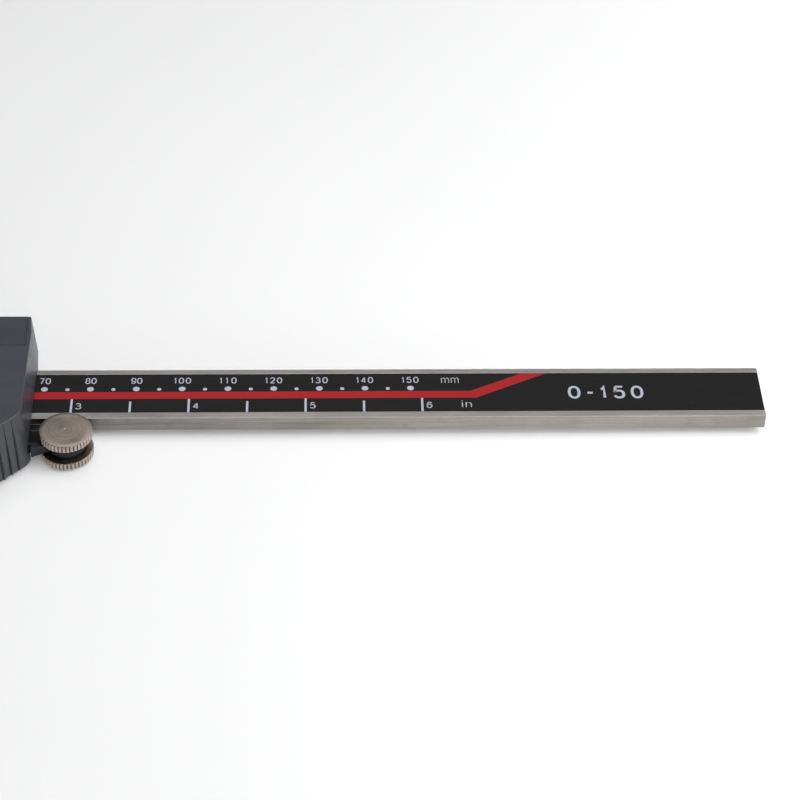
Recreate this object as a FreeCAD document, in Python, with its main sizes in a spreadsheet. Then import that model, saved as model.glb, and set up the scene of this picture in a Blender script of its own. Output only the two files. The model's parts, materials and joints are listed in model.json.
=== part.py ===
import FreeCAD, Part
import math
import os

import Sketcher
from FreeCAD import Placement, Rotation, Vector

# Digital caliper, 0-150 mm, closed. Millimetres.
# +X runs to the right along the beam, with X = 0 on the closed measuring faces.
# Y = 0 is the beam's centreline; upper and lower edges, rails and jaws lie at +Y and -Y.
# +Z points out of the display face. Z = 0 is the flat back of the slider.

doc = FreeCAD.newDocument("DigitalCaliper")

# ---------------------------------------------------------------- driving dimensions
# alias, value, meaning
DIMENSIONS = [
    ("beam_z", 1.6, "height of the beam's back face above the rest face"),
    ("beam_half", 8.0, "half of the beam's width"),
    ("beam_thick", 3.5, "thickness of the beam and of both jaws"),
    ("beam_end", 227.14, "right end of the beam"),
    ("beam_left", 10.5, "width of the fixed jaw, left of the measuring face"),
    ("jaw_tip_y", 48.0, "reach of the outside jaws below the centreline"),
    ("jaw_tip_w", 3.4, "width of an outside jaw at its tip"),
    ("horn_tip_y", 24.6, "reach of the inside jaws above the centreline"),
    ("horn_root_w", 6.4, "width of an inside jaw at its root"),
    ("horn_thick", 1.7, "thickness of one inside jaw"),
    ("light_gap", 0.01, "gap between the closed outside measuring faces"),
    ("recess_depth", 0.5, "depth of the scale recess in the beam's front"),
    ("strip_low", 6.16, "scale strip, lower edge below the centreline"),
    ("strip_high", 6.45, "scale strip, upper edge above the centreline"),
    ("strip_start", 3.0, "scale strip, left end left of zero"),
    ("rod_half", 1.95, "half of the depth rod's width"),
    ("rod_thick", 1.15, "thickness of the depth rod"),
    ("groove_depth", 1.35, "depth of the rod groove in the beam's back"),
    ("edge_groove", 0.08, "depth of the fine groove along the beam's edges"),
    ("frame_end", 65.4, "right end of the steel slider frame"),
    ("frame_low", 11.4, "lower edge of the frame below the centreline"),
    ("frame_high", 12.8, "upper edge of the frame above the centreline"),
    ("frame_floor", 1.55, "thickness of the frame's back wall"),
    ("rail_top", 5.3, "height of the frame's two rails"),
    ("rail_gap", 0.05, "running clearance along the beam"),
    ("gib_outer", 9.5, "outer face of the gib strip"),
    ("gib_slot", 9.6, "inner face of the upper rail"),
    ("pcb_z", 5.35, "underside of the circuit board"),
    ("pcb_thick", 1.0, "thickness of the circuit board"),
    ("shell_base", 4.7, "lower rim of the plastic shell"),
    ("shell_top", 15.1, "display face of the plastic shell"),
    ("shell_wall", 1.5, "thickness of the shell's top wall"),
    ("shell_draft", 4.0, "draft of the shell's sides in degrees"),
    ("grip_base", 1.1, "lower rim of the thumb grip"),
    ("grip_draft", 4.0, "draft of the thumb grip in degrees"),
    ("rib_pitch", 2.09, "spacing of the grip's ribs along the grip face"),
    ("rib_step", 0.53, "height of one rib at the grip's foot"),
    ("rib_lean", 5.9, "lean of the ribs in degrees, so that they fade out upwards"),
    ("mouth_half", 8.25, "half of the opening the beam passes through"),
    ("screw_rad", 0.78, "radius of a housing screw's shank"),
    ("roller_x", 75.83, "thumb roller's axis, X"),
    ("roller_y", 13.8, "thumb roller's axis, below the centreline"),
    ("disc_rad", 5.7, "radius of the roller's discs"),
    ("disc_thick", 1.7, "thickness of a roller disc"),
    ("disc_low_z", 0.4, "underside of the lower disc"),
    ("disc_high_z", 5.4, "underside of the upper disc"),
    ("arm_z", 2.8, "underside of the roller bracket"),
    ("arm_thick", 2.4, "thickness of the roller bracket"),
    ("boss_rad", 4.2, "radius of the bracket's boss"),
    ("axle_rad", 1.6, "radius of the axle in the boss"),
    ("neck_rad", 1.0, "radius of the axle's ends in the discs"),
    ("lock_x", 37.0, "lock screw's axis, X"),
    ("lock_rad", 1.45, "radius of the lock screw's shank"),
    ("lock_head", 3.2, "radius of the lock screw's knurled head"),
    ("side_z", 3.35, "height of the screws in the upper rail"),
    ("glass_left", 9.0, "display window, left edge"),
    ("glass_right", 46.0, "display window, right edge"),
    ("glass_low", 7.0, "display window, lower edge below the centreline"),
    ("glass_high", 9.6, "display window, upper edge"),
    ("door_left", 47.5, "battery door, left edge"),
    ("door_low", 4.7, "battery door, lower edge"),
    ("cell_x", 56.5, "button cell's axis, X"),
    ("cell_y", 7.0, "button cell's axis, Y"),
    ("cell_rad", 5.8, "radius of the button cell"),
    ("cell_tall", 5.4, "height of the button cell"),
    ("button_y", 10.2, "button row below the centreline"),
    ("power_x", 14.5, "power button, X"),
    ("unit_x", 29.5, "unit button, X"),
    ("zero_x", 57.4, "zero button, X"),
    ("zero_rad", 4.5, "radius of the zero button"),
    ("stop_x", 222.5, "end stop screws, X"),
]
sheet = doc.addObject("Spreadsheet::Sheet", "prm")
for row, (alias, value, meaning) in enumerate(DIMENSIONS, start=1):
    sheet.set(f"A{row}", alias)
    sheet.set(f"B{row}", str(value))
    sheet.setAlias(f"B{row}", alias)
    sheet.set(f"C{row}", meaning)
doc.recompute()


# A size or place below is either a number or a text formula in which @ marks an alias.
def formula(value):
    """The value as an expression over the sheet."""
    if isinstance(value, str):
        return value.replace("@", "prm.")
    return repr(float(value))


def number(value):
    """The value as a number, with its aliases read from the sheet."""
    if not isinstance(value, str):
        return float(value)
    result = sheet.evalExpression(formula(value))
    return float(result.Value if hasattr(result, "Value") else result)


# ---------------------------------------------------------------- shared places
BEAM_FRONT = "@beam_z + @beam_thick"
BOARD_FRONT = "@pcb_z + @pcb_thick"
ON_BOARD = f"{BOARD_FRONT} + 0.01"
SHELL_INSIDE = "@shell_top - @shell_wall"
BELOW_SHELL = "@shell_base - 0.5"
BELOW_GRIP = "@grip_base - 0.5"
TOP = number("@shell_top")
BASE = number("@shell_base")

# bend in the outer flank of both outside jaws, mirrored about X = 0
JAW_BEND_X, JAW_BEND_Y = 8.7, -24.0

# screw places as (x, y)
SCREW_LEFT, SCREW_RIGHT = 8.6, 64.0
SCREW_HIGH, SCREW_LOW = 11.2, -9.75
HOUSING_SCREWS = [(x, y) for y in (SCREW_HIGH, SCREW_LOW) for x in (SCREW_LEFT, SCREW_RIGHT)]
BOARD_SCREWS = [(14.0, SCREW_HIGH), (47.5, SCREW_HIGH), (22.0, SCREW_LOW), (44.0, SCREW_LOW)]
BRACKET_SCREWS = [(55.8, -19.6), (61.6, -16.2)]
STOP_SCREWS = [("@stop_x", 4.4), ("@stop_x", -4.4)]
GIB_SCREWS_X = [20.0, 54.0]
ROD_PINS = [(20.0, 0), (50.0, 0)]

# plastic shell at its lower rim
SHELL_LEFT, SHELL_RIGHT = 2.4, 68.0
SHELL_LOW, SHELL_HIGH = -14.4, 15.3

# turns local Z onto +Y
ALONG_Y = Rotation(Vector(1, 0, 0), -90)

# ---------------------------------------------------------------- primitives
pieces = []


def keep(piece):
    """Marks an object as a piece to export under its Label."""
    pieces.append(piece)
    return piece


def place(piece, x, y, z):
    for axis, value in (("x", x), ("y", y), ("z", z)):
        if value != 0:
            piece.setExpression(f"Placement.Base.{axis}", formula(value))


def box(name, x_span, y_span, z_span):
    block = doc.addObject("Part::Box", name)
    spans = (("Length", x_span), ("Width", y_span), ("Height", z_span))
    for side, (low, high) in spans:
        block.setExpression(side, f"({formula(high)}) - ({formula(low)})")
    place(block, x_span[0], y_span[0], z_span[0])
    return block


def cylinder(name, x, y, z, radius, height, turn=Rotation()):
    rod = doc.addObject("Part::Cylinder", name)
    rod.Placement = Placement(Vector(0, 0, 0), turn)
    rod.setExpression("Radius", formula(radius))
    rod.setExpression("Height", formula(height))
    place(rod, x, y, z)
    return rod


def fuse(name, parts):
    joined = doc.addObject("Part::MultiFuse", name)
    joined.Shapes = parts
    return joined


def cut(name, base, tools):
    result = doc.addObject("Part::Cut", name)
    result.Base = base
    result.Tool = tools[0] if len(tools) == 1 else fuse(name + "_tools", tools)
    return result


def group(name, parts):
    compound = doc.addObject("Part::Compound", name)
    compound.Links = parts
    return compound


def screw(name, x, y, face_z, tip_z, head_radius, head_height, radius, up=True):
    """Slotted screw along Z from its head's outer face to its tip; up points the tip to +Z."""
    kerf_half, kerf_depth = 0.2, head_height * 0.45
    if up:
        head_z, shank_z = face_z, (face_z, tip_z)
        kerf_z = (f"{face_z} - 0.1", f"{face_z} + {kerf_depth}")
    else:
        head_z, shank_z = f"{face_z} - {head_height}", (tip_z, face_z)
        kerf_z = (f"{face_z} - {kerf_depth}", f"{face_z} + 0.1")
    head = cylinder(name + "_head", x, y, head_z, head_radius, head_height)
    length = f"({shank_z[1]}) - ({shank_z[0]})"
    shank = cylinder(name + "_shank", x, y, shank_z[0], radius, length)
    kerf = box(name + "_kerf", (f"{x} - {head_radius} - 0.1", f"{x} + {head_radius} + 0.1"),
               (f"{y} - {kerf_half}", f"{y} + {kerf_half}"), kerf_z)
    return cut(name, fuse(name + "_blank", [head, shank]), [kerf])


def screws(name, prefix, places, **sizes):
    keep(group(name, [screw(f"{prefix}_{i}", x, y, **sizes)
                      for i, (x, y) in enumerate(places)]))


# ---------------------------------------------------------------- bodies and sketches
def new_body(name, x=0, y=0, z=0, turn=Rotation()):
    body = doc.addObject("PartDesign::Body", name)
    body.Placement = Placement(Vector(0, 0, 0), turn)
    place(body, x, y, z)
    return keep(body)


def origin(body, role):
    return next(datum for datum in body.Origin.OriginFeatures if datum.Role == role)


def rect(left, low, right, high):
    return [(left, low), (right, low), (right, high), (left, high)]


def circles_at(places, radius):
    return [(x, y, radius) for x, y in places]


def sketch(body, name, plane="XY_Plane", off=0, loops=(), circles=(), tilt=None):
    """Fully constrained sketch of closed (x, y) loops and (x, y, radius) circles.

    It lies off from the plane along its normal, or at the placement tilt. The normal is +Z
    for XY, +X for YZ and -Y for XZ; local x, y are Y, Z on YZ and X, Z on XZ.
    """
    drawing = body.newObject("Sketcher::SketchObject", name)
    drawing.AttachmentSupport = [(origin(body, plane), "")]
    drawing.MapMode = "FlatFace"
    if tilt is None:
        drawing.setExpression(".AttachmentOffset.Base.z", formula(off))
    else:
        drawing.AttachmentOffset = tilt
    curves, rules, driven = [], [], []

    def locate(curve, point, position):
        for kind, value, axis in zip(("DistanceX", "DistanceY"), position, (-2, -1)):
            distance = number(value)
            if abs(distance) < 1e-9:
                rules.append(Sketcher.Constraint("PointOnObject", curve, point, axis))
            else:
                rules.append(Sketcher.Constraint(kind, -1, 1, curve, point, distance))
                driven.append((len(rules) - 1, value))

    for loop in loops:
        corners = [Vector(number(x), number(y), 0) for x, y in loop]
        first = len(curves)
        for i, corner in enumerate(corners):
            after = (i + 1) % len(corners)
            curves.append(Part.LineSegment(corner, corners[after]))
            rules.append(Sketcher.Constraint("Coincident", first + i, 2, first + after, 1))
            locate(first + i, 1, loop[i])
    for x, y, radius in circles:
        centre = Vector(number(x), number(y), 0)
        index = len(curves)
        curves.append(Part.Circle(centre, Vector(0, 0, 1), number(radius)))
        locate(index, 3, (x, y))
        rules.append(Sketcher.Constraint("Radius", index, number(radius)))
        driven.append((len(rules) - 1, radius))
    drawing.addGeometry(curves, False)
    drawing.addConstraint(rules)
    for index, value in driven:
        if isinstance(value, str):
            drawing.setExpression(f"Constraints[{index}]", formula(value))
    return drawing


def pad(body, name, length, draft=None, **drawing):
    """Extrudes a new sketch along its normal; a draft narrows it on the way."""
    profile = sketch(body, name, **drawing)
    feature = body.newObject("PartDesign::Pad", name + "_pad")
    feature.Profile = profile
    feature.setExpression("Length", formula(length))
    if draft is not None:
        feature.setExpression("TaperAngle", f"0 - ({formula(draft)})")
    doc.recompute()


def pocket(body, name, length, up=False, **drawing):
    """Cuts a new sketch against its normal, or along it when up is set."""
    profile = sketch(body, name, **drawing)
    before = body.Shape.Volume
    feature = body.newObject("PartDesign::Pocket", name + "_cut")
    feature.Profile = profile
    feature.setExpression("Length", formula(length))
    feature.Reversed = up
    doc.recompute()
    if body.Shape.Volume > before - 1e-4:
        raise ValueError(f"{name} cuts nothing")
    return feature


def revolve(body, name, points):
    """Turns an XZ outline about the body's Z axis."""
    profile = sketch(body, name, plane="XZ_Plane", loops=[points])
    feature = body.newObject("PartDesign::Revolution", name + "_turn")
    feature.Profile = profile
    feature.ReferenceAxis = (profile, ["V_Axis"])
    feature.Angle = 360
    doc.recompute()


def notch_rim(body, name, rim, depth, half_width, off, length, count):
    """Cuts a V notch into the rim radius and repeats it around the body's Z axis."""
    outside = f"{rim} + 0.05"
    notch = [(f"{rim} - {depth}", 0), (outside, half_width), (outside, -half_width)]
    feature = pocket(body, name, length, up=True, off=off, loops=[notch])
    pattern = body.newObject("PartDesign::PolarPattern", feature.Name + "_round")
    pattern.Originals = [feature]
    pattern.Axis = (origin(body, "Z_Axis"), [""])
    pattern.Angle = 360
    pattern.Occurrences = count
    body.Tip = pattern
    doc.recompute()


def dress(body, kind, size, test):
    """Fillet or Chamfer on the edges of the body's last feature that pass the test."""
    base = body.Tip
    names = []
    for index, edge in enumerate(base.Shape.Edges, start=1):
        ends = [vertex.Point for vertex in edge.Vertexes]
        if test(ends[0], ends[-1], edge):
            names.append(f"Edge{index}")
    if not names:
        raise ValueError(f"{body.Name}: no edge to dress on {base.Name}")
    feature = body.newObject("PartDesign::" + kind, f"{body.Name}_{kind}{len(body.Group)}")
    feature.Base = (base, names)
    feature.setExpression("Radius" if kind == "Fillet" else "Size", formula(size))
    doc.recompute()


# Edge tests take the edge's start point, end point and the edge itself.
def near(a, b):
    return abs(a - b) < 0.02


def upright(places):
    """Passes edges that stand along Z at the given (x, y) places."""
    corners = [(number(x), number(y)) for x, y in places]

    def test(start, end, edge):
        if abs(start.z - end.z) < 0.2 or math.hypot(start.x - end.x, start.y - end.y) >= 0.02:
            return False
        middle = (start + end) * 0.5
        return any(math.hypot(middle.x - x, middle.y - y) < 0.05 for x, y in corners)
    return test


def slanted(places):
    """Passes tall drafted edges whose foot is at one of the given (x, y) places."""
    def test(start, end, edge):
        if abs(start.z - end.z) < 8:
            return False
        foot = start if start.z < end.z else end
        return any(math.hypot(foot.x - x, foot.y - y) < 0.5 for x, y in places)
    return test


def level_at(height):
    """Passes flat edges at the given height."""
    def test(start, end, edge):
        bounds = edge.BoundBox
        return near(start.z, height) and near(end.z, height) and near(bounds.ZMax, bounds.ZMin)
    return test


# ================================================================= beam
# (x, z) bevels on the front and back of the fixed outside jaw, at its measuring face
KNIFE_BEVELS = [
    [(0.3, 5.2), (-3.3, 5.2), (-3.0, 5.1), (0.3, 3.95)],
    [(0.3, 1.5), (0.3, 2.75), (-3.0, 1.6), (-3.3, 1.5)],
]
KNIFE_START, KNIFE_LENGTH = 29.0, 20.0     # start below the centreline, and run towards -Y


def make_main_beam():
    beam = new_body("main_beam")
    shoulder = ("-@beam_left", -13.0)
    bend = (-JAW_BEND_X, JAW_BEND_Y)
    pad(beam, "beam_outline", "@beam_thick", off="@beam_z", loops=[[
        ("@beam_end", "-@beam_half"), ("@beam_end", "@beam_half"), (-8.8, "@beam_half"),
        ("-@beam_left", "@beam_half - 1.7"), shoulder, bend, ("-@jaw_tip_w", "-@jaw_tip_y"),
        ("-@light_gap", "-@jaw_tip_y"), ("-@light_gap", -10.4), (-1.3, -9.5),
        (-1.3, "-@beam_half"),
    ]])
    dress(beam, "Fillet", 2.2, upright([shoulder, bend]))
    half = number("@beam_half")
    dress(beam, "Chamfer", 0.08, lambda start, end, edge: (
        near(abs(start.y), half) and near(abs(end.y), half) and abs(start.x - end.x) > 100))
    pad(beam, "fixed_horn", "@horn_thick", off="@beam_z", loops=[[
        (0, 7.4), ("@horn_root_w", 7.4), ("@horn_root_w", 12.4), ("@horn_root_w - 0.9", 13.6),
        (1.5, "@horn_tip_y"), (0, "@horn_tip_y"),
    ]])
    past_end = "@beam_end + 1"
    pocket(beam, "scale_recess", "@recess_depth", off=BEAM_FRONT, loops=[rect(
        "-@strip_start - 0.04", "-@strip_low - 0.04", past_end, "@strip_high + 0.04")])
    pocket(beam, "rod_groove", "@groove_depth", up=True, off="@beam_z", loops=[rect(
        4.0, "-@rod_half - 0.1", past_end, "@rod_half + 0.1")])
    low, high = "-@beam_half - 0.05", "@beam_half + 0.05"
    pocket(beam, "edge_grooves", "@beam_end + 0.5 - 8.0",
           plane="YZ_Plane", off="@beam_end + 0.5", loops=[
               [(low, 3.30), ("-@beam_half + @edge_groove", 3.43), (low, 3.56)],
               [(high, 3.56), ("@beam_half - @edge_groove", 3.43), (high, 3.30)],
           ])
    pocket(beam, "fixed_knife", KNIFE_LENGTH, up=True,
           plane="XZ_Plane", off=KNIFE_START, loops=KNIFE_BEVELS)
    pocket(beam, "fixed_horn_edge", 12.0, plane="XZ_Plane", off=-13.8,
           loops=[[(-0.3, 1.5), (2.7, 1.5), (2.5, 1.6), (-0.3, 2.75)]])
    pocket(beam, "stop_holes", 2.2, up=True, off="@beam_z",
           circles=circles_at(STOP_SCREWS, 0.85))


def make_scale():
    """Grating strip in the beam's recess, with a thin overlay in front of it."""
    x_span = ("-@strip_start", "@beam_end - 0.02")
    y_span = ("-@strip_low", "@strip_high")
    keep(box("grating_strip", x_span, y_span,
             (f"{BEAM_FRONT} - @recess_depth + 0.01", f"{BEAM_FRONT} - 0.18")))
    keep(box("scale_overlay", x_span, y_span, (f"{BEAM_FRONT} - 0.17", f"{BEAM_FRONT} - 0.04")))


def make_end_stop():
    """Plate over the rod groove at the beam's right end, with two sunk screws."""
    plate_z = 0.25
    stop = new_body("end_stop")
    outline = rect(219.2, -6.4, 225.8, 6.4)
    pad(stop, "stop_outline", "@beam_z - 0.27", off=plate_z, loops=[outline],
        circles=circles_at(STOP_SCREWS, 0.9))
    dress(stop, "Fillet", 1.0, upright(outline))
    pocket(stop, "stop_sinks", 0.62, up=True, off=plate_z,
           circles=circles_at(STOP_SCREWS, 1.75))
    screws("end_stop_screws", "stop_screw", STOP_SCREWS, face_z=0.27, tip_z=3.6,
           head_radius=1.7, head_height=0.58, radius=0.8)


# ================================================================= slider frame
def make_slider_frame():
    """Steel frame around the beam, in one piece with the moving jaws."""
    frame = new_body("slider_frame")
    pad(frame, "frame_floor_outline", "@frame_floor",
        loops=[rect(0, "-@frame_low", "@frame_end", "@frame_high")])
    dress(frame, "Chamfer", 1.0, upright([(0, "@frame_high")]))
    pad(frame, "frame_rails", "@rail_top", loops=[
        rect(1.3, "-@frame_low", "@frame_end", "-@beam_half - @rail_gap"),
        rect(7.0, "@gib_slot", "@frame_end", "@frame_high"),
    ])
    bend, knee = (JAW_BEND_X, JAW_BEND_Y), (11.5, -15.0)
    pad(frame, "moving_jaw", "@beam_thick", off="@beam_z", loops=[[
        (0, "-@jaw_tip_y"), ("@jaw_tip_w", "-@jaw_tip_y"), bend, knee, (16.5, -11.3),
        (16.5, -8.2), (1.4, -8.2), (1.4, -9.5), (0, -10.4),
    ]])
    # joins the jaw to the floor
    pad(frame, "jaw_web", 0.6, off="@frame_floor - 0.3",
        loops=[[(1.4, -11.3), (1.4, -9.5), (1.4, -8.2), (16.0, -8.2), (16.0, -11.3)]])
    dress(frame, "Fillet", 3.0, upright([bend, knee]))
    pad(frame, "moving_horn", "@horn_thick", off=f"{BEAM_FRONT} - @horn_thick", loops=[[
        (0, "@horn_tip_y"), (-1.5, "@horn_tip_y"), ("-@horn_root_w + 0.9", 13.6),
        ("-@horn_root_w", 12.4), ("-@horn_root_w", 8.12), (8.6, 8.12), (8.6, 12.7),
        (1.3, 12.7), (0, 13.9),
    ]])
    pocket(frame, "moving_knife", KNIFE_LENGTH, up=True, plane="XZ_Plane", off=KNIFE_START,
           loops=[[(-x, z) for x, z in bevel] for bevel in KNIFE_BEVELS])
    pocket(frame, "moving_horn_edge", 12.0, plane="XZ_Plane", off=-14.0,
           loops=[[(0.3, 5.2), (-2.7, 5.2), (-2.5, 5.1), (0.3, 3.95)]])
    pocket(frame, "housing_screw_holes", 6.0, up=True,
           circles=circles_at(HOUSING_SCREWS, "@screw_rad + 0.08"))
    pocket(frame, "housing_screw_sinks", 0.95, up=True, circles=circles_at(HOUSING_SCREWS, 1.62))
    pocket(frame, "board_screw_holes", 2.9, off="@rail_top",
           circles=circles_at(BOARD_SCREWS, 0.85))
    pocket(frame, "rail_side_holes", 3.8, up=True, plane="XZ_Plane", off=-13.2,
           circles=[(x, "@side_z", 1.05) for x in GIB_SCREWS_X]
           + [("@lock_x", "@side_z", "@lock_rad + 0.05")])
    pocket(frame, "rod_pin_holes", 2.0, up=True, circles=circles_at(ROD_PINS, 0.8))


def make_gib():
    """Gib strip between beam and upper rail, and the set screws that press on it."""
    gib = new_body("gib_strip")
    pad(gib, "gib_outline", 3.3, off=1.7, loops=[[
        (9.0, 8.4), (9.4, 8.06), (63.6, 8.06), (64.0, 8.4), (64.0, "@gib_outer"),
        (9.0, "@gib_outer"),
    ]])
    set_screws = []
    for i, x in enumerate(GIB_SCREWS_X):
        rod = cylinder(f"set_rod_{i}", x, 9.56, "@side_z", 0.98, 3.04, turn=ALONG_Y)
        kerf = box(f"set_kerf_{i}", (x - 1.2, x + 1.2), (12.05, 12.8),
                   ("@side_z - 0.18", "@side_z + 0.18"))
        set_screws.append(cut(f"set_screw_{i}", rod, [kerf]))
    keep(group("gib_set_screws", set_screws))


def make_depth_rod():
    rod = new_body("depth_rod")
    end = "@beam_end - 0.02"
    pad(rod, "rod_outline", "@rod_thick", off="@beam_z + 0.06", loops=[[
        (6.0, "-@rod_half"), (end, "-@rod_half"), (end, -0.2), ("@beam_end - 2.2", "@rod_half"),
        (6.0, "@rod_half"),
    ]], circles=circles_at(ROD_PINS, 0.8))
    keep(group("depth_rod_pins", [cylinder(f"rod_pin_{i}", x, y, 0.06, 0.77, 2.6)
                                  for i, (x, y) in enumerate(ROD_PINS)]))


# ================================================================= electronics
def make_sensor_board():
    board = new_body("sensor_board")
    outline = rect(11.0, -11.2, 62.3, 12.6)
    pad(board, "board_outline", "@pcb_thick", off="@pcb_z", loops=[outline],
        circles=circles_at(BOARD_SCREWS, 0.85))
    dress(board, "Fillet", 1.0, upright(outline))
    screws("board_screws", "board_screw", BOARD_SCREWS, face_z=f"{BOARD_FRONT} + 0.81",
           tip_z=3.2, head_radius=1.4, head_height=0.8, radius=0.78, up=False)


def make_board_components():
    # domed drop over the chip, as (radius, height)
    chip = new_body("readout_chip", x=28.0, y=1.4, z=ON_BOARD)
    revolve(chip, "chip_profile", [
        (0, 0), (4.0, 0), (3.8, 0.45), (3.2, 0.85), (2.2, 1.15), (1.0, 1.28), (0, 1.3)])
    keep(box("crystal_can", (37.0, 43.0), (-3.6, -1.8), (ON_BOARD, f"{BOARD_FRONT} + 1.8")))
    # lower left corners, (x, y)
    capacitors = [(18.0, 3.5), (18.0, 0.8), (18.0, -2.0), (36.5, 4.6), (39.6, 4.6), (36.5, 1.8)]
    keep(group("chip_capacitors", [
        box(f"cap_{i}", (x, x + 1.6), (y, y + 0.85), (ON_BOARD, f"{BOARD_FRONT} + 0.8"))
        for i, (x, y) in enumerate(capacitors)]))


def make_tact_switches():
    switches = []
    for i, x in enumerate(("@power_x", "@unit_x", "@zero_x")):
        base = box(f"tact_base_{i}", (f"{x} - 1.5", f"{x} + 1.5"),
                   ("-@button_y - 0.75", "-@button_y + 1.75"),
                   (ON_BOARD, f"{BOARD_FRONT} + 1.2"))
        knob = cylinder(f"tact_knob_{i}", x, "-@button_y + 0.4", f"{BOARD_FRONT} + 0.5",
                        0.8, 1.15)
        switches.append(fuse(f"tact_{i}", [base, knob]))
    keep(group("tact_switches", switches))


def make_display():
    """Tray on the board, two zebra strips, the LCD and the window in front of it."""
    tray = box("tray_out", ("@glass_left - 0.2", "@glass_right + 0.2"),
               ("-@glass_low - 0.15", "@glass_high + 0.2"),
               (f"{BOARD_FRONT} + 0.02", f"{SHELL_INSIDE} - 0.15"))
    room_x = ("@glass_left + 0.7", "@glass_right - 0.7")
    room_y = ("-@glass_low + 0.6", "@glass_high - 0.65")
    tools = [box("tray_top", room_x, room_y, (11.55, 14.0)),
             box("tray_bot", room_x, room_y, (6.0, 10.2))]
    # slots for the zebra strips, which have a play of 0.1 on each side
    slot_left, slot_right = 10.6, 44.4
    slots_y = ((-6.2, -4.9), (7.5, 8.8))
    play = 0.1
    for name, slot_y in zip(("slot_a", "slot_b"), slots_y):
        tools.append(box(name, (slot_left, slot_right), slot_y, (6.0, 12.0)))
    tools.append(cylinder("tray_boss", SCREW_LEFT, SCREW_HIGH, 6.0, 1.85, 9.0))
    keep(cut("display_tray", tray, tools))
    keep(group("zebra_strips", [
        box(f"zebra_{i}", (slot_left + play, slot_right - play), (low + play, high - play),
            (ON_BOARD, 11.6))
        for i, (low, high) in enumerate(slots_y)]))

    lcd_x = ("@glass_left + 0.8", "@glass_right - 0.8")
    lcd_high = "@glass_high - 0.75"
    lower = box("lcd_lower", lcd_x, ("-@glass_low + 0.7", lcd_high), (11.62, 12.42))
    upper = box("lcd_upper", lcd_x, ("-@glass_low + 1.9", lcd_high), (12.42, 13.22))
    keep(fuse("lcd_panel", [lower, upper]))

    window = new_body("display_window")
    outline = rect("@glass_left + 0.05", "-@glass_low + 0.05",
                   "@glass_right - 0.05", "@glass_high - 0.05")
    pad(window, "window_outline", 1.13, off="@shell_top - 1.15", loops=[outline])
    dress(window, "Fillet", 1.2, upright(outline))


def make_battery():
    """Button cell, its holder and two spring contacts."""
    can = cylinder("cell_can", "@cell_x", "@cell_y", 7.0, "@cell_rad", "@cell_tall - 0.7")
    cap = cylinder("cell_cap", "@cell_x", "@cell_y", 7.0, "@cell_rad - 0.9", "@cell_tall")
    keep(fuse("button_cell", [can, cap]))

    holder_x, holder_y, holder_z = (49.4, 62.25), (0.1, 12.55), f"{BOARD_FRONT} + 0.02"
    outer = box("hold_out", holder_x, holder_y, (holder_z, 9.6))
    inner = cylinder("hold_in", "@cell_x", "@cell_y", 6.0, "@cell_rad + 0.1", 5.0)
    gap = box("hold_gap", ("@cell_x - 2.2", "@cell_x + 2.2"), (-1.0, 3.0), (6.0, 10.0))
    rim = cut("hold_rim", outer, [inner, gap])
    floor = box("hold_floor", holder_x, holder_y, (holder_z, 6.92))
    well = cylinder("hold_well", "@cell_x", "@cell_y", 6.0, 4.8, 2.0)
    path = box("hold_path", ("@cell_x - 4.6", "@cell_x + 4.6"), (5.2, 8.8), (6.0, 7.2))
    lead = box("hold_lead", ("@cell_x - 1.7", "@cell_x + 1.7"), (0.0, 1.4), (6.0, 7.2))
    keep(fuse("cell_holder", [rim, cut("hold_base", floor, [well, path, lead])]))

    contact_width = 3.0
    # bowed strip under the cell, (x, z)
    pad(new_body("negative_contact"), "negative_profile", contact_width,
        plane="XZ_Plane", off="-@cell_y - 1.5", loops=[[
            (52.2, 6.37), (56.0, 6.37), (58.2, 6.76), (60.6, 6.60),
            (60.6, 6.78), (58.2, 6.94), (55.9, 6.55), (52.2, 6.55)]])
    # strip that rises beside the cell and bends over its top, (y, z)
    pad(new_body("positive_contact"), "positive_profile", contact_width,
        plane="YZ_Plane", off="@cell_x - 1.5", loops=[[
            (-1.2, 6.37), (0.55, 6.37), (0.95, 7.3), (0.95, 12.55), (4.2, 12.50),
            (4.2, 12.68), (0.77, 12.75), (0.77, 7.3), (0.40, 6.55), (-1.2, 6.55)]])


# ================================================================= plastic shell
# right wall of the shell, carried on down to the grip's rim
GRIP_WALL = SHELL_RIGHT + (
    math.tan(math.radians(number("@grip_draft"))) * (BASE - number("@grip_base")))

# (x, y) outlines at the lower rims
SHELL_OUTLINE = [
    (SHELL_LEFT, SHELL_LOW), (SHELL_RIGHT, SHELL_LOW), (SHELL_RIGHT, 9.0), (67.5, SHELL_HIGH),
    (SHELL_LEFT, SHELL_HIGH),
]
GRIP_OUTLINE = [
    (GRIP_WALL, -9.6), (GRIP_WALL, -17.85), (GRIP_WALL - 9.05, -26.9), (56.8, -27.0),
    (54.6, -25.9), (50.6, -21.2), (46.0, -17.4), (40.5, -15.2), (36.0, -14.5), (36.0, -9.6),
]
GRIP_CAVITY = [
    (65.5, -11.55), (65.7, -16.7), (64.3, -18.8), (59.6, -23.5), (58.4, -24.2), (57.2, -24.2),
    (56.0, -23.6), (52.3, -19.5), (47.6, -15.7), (44.0, -14.0), (44.0, -11.55),
]

# screw bosses, (x, y, radius)
BOSSES = [(SCREW_LEFT, SCREW_HIGH, 1.75), (SCREW_LEFT, SCREW_LOW, 1.75),
          (SCREW_RIGHT, SCREW_LOW, 1.6)]

# The outline of the power and unit buttons is two arcs of straight steps.
PILL_HALF = 1.9      # from the button's centre to an arc's centre
PILL_STEPS = 8       # steps in each arc
PILL_CAP_RADIUS, PILL_HOLE_RADIUS = 1.5, 1.6


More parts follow.
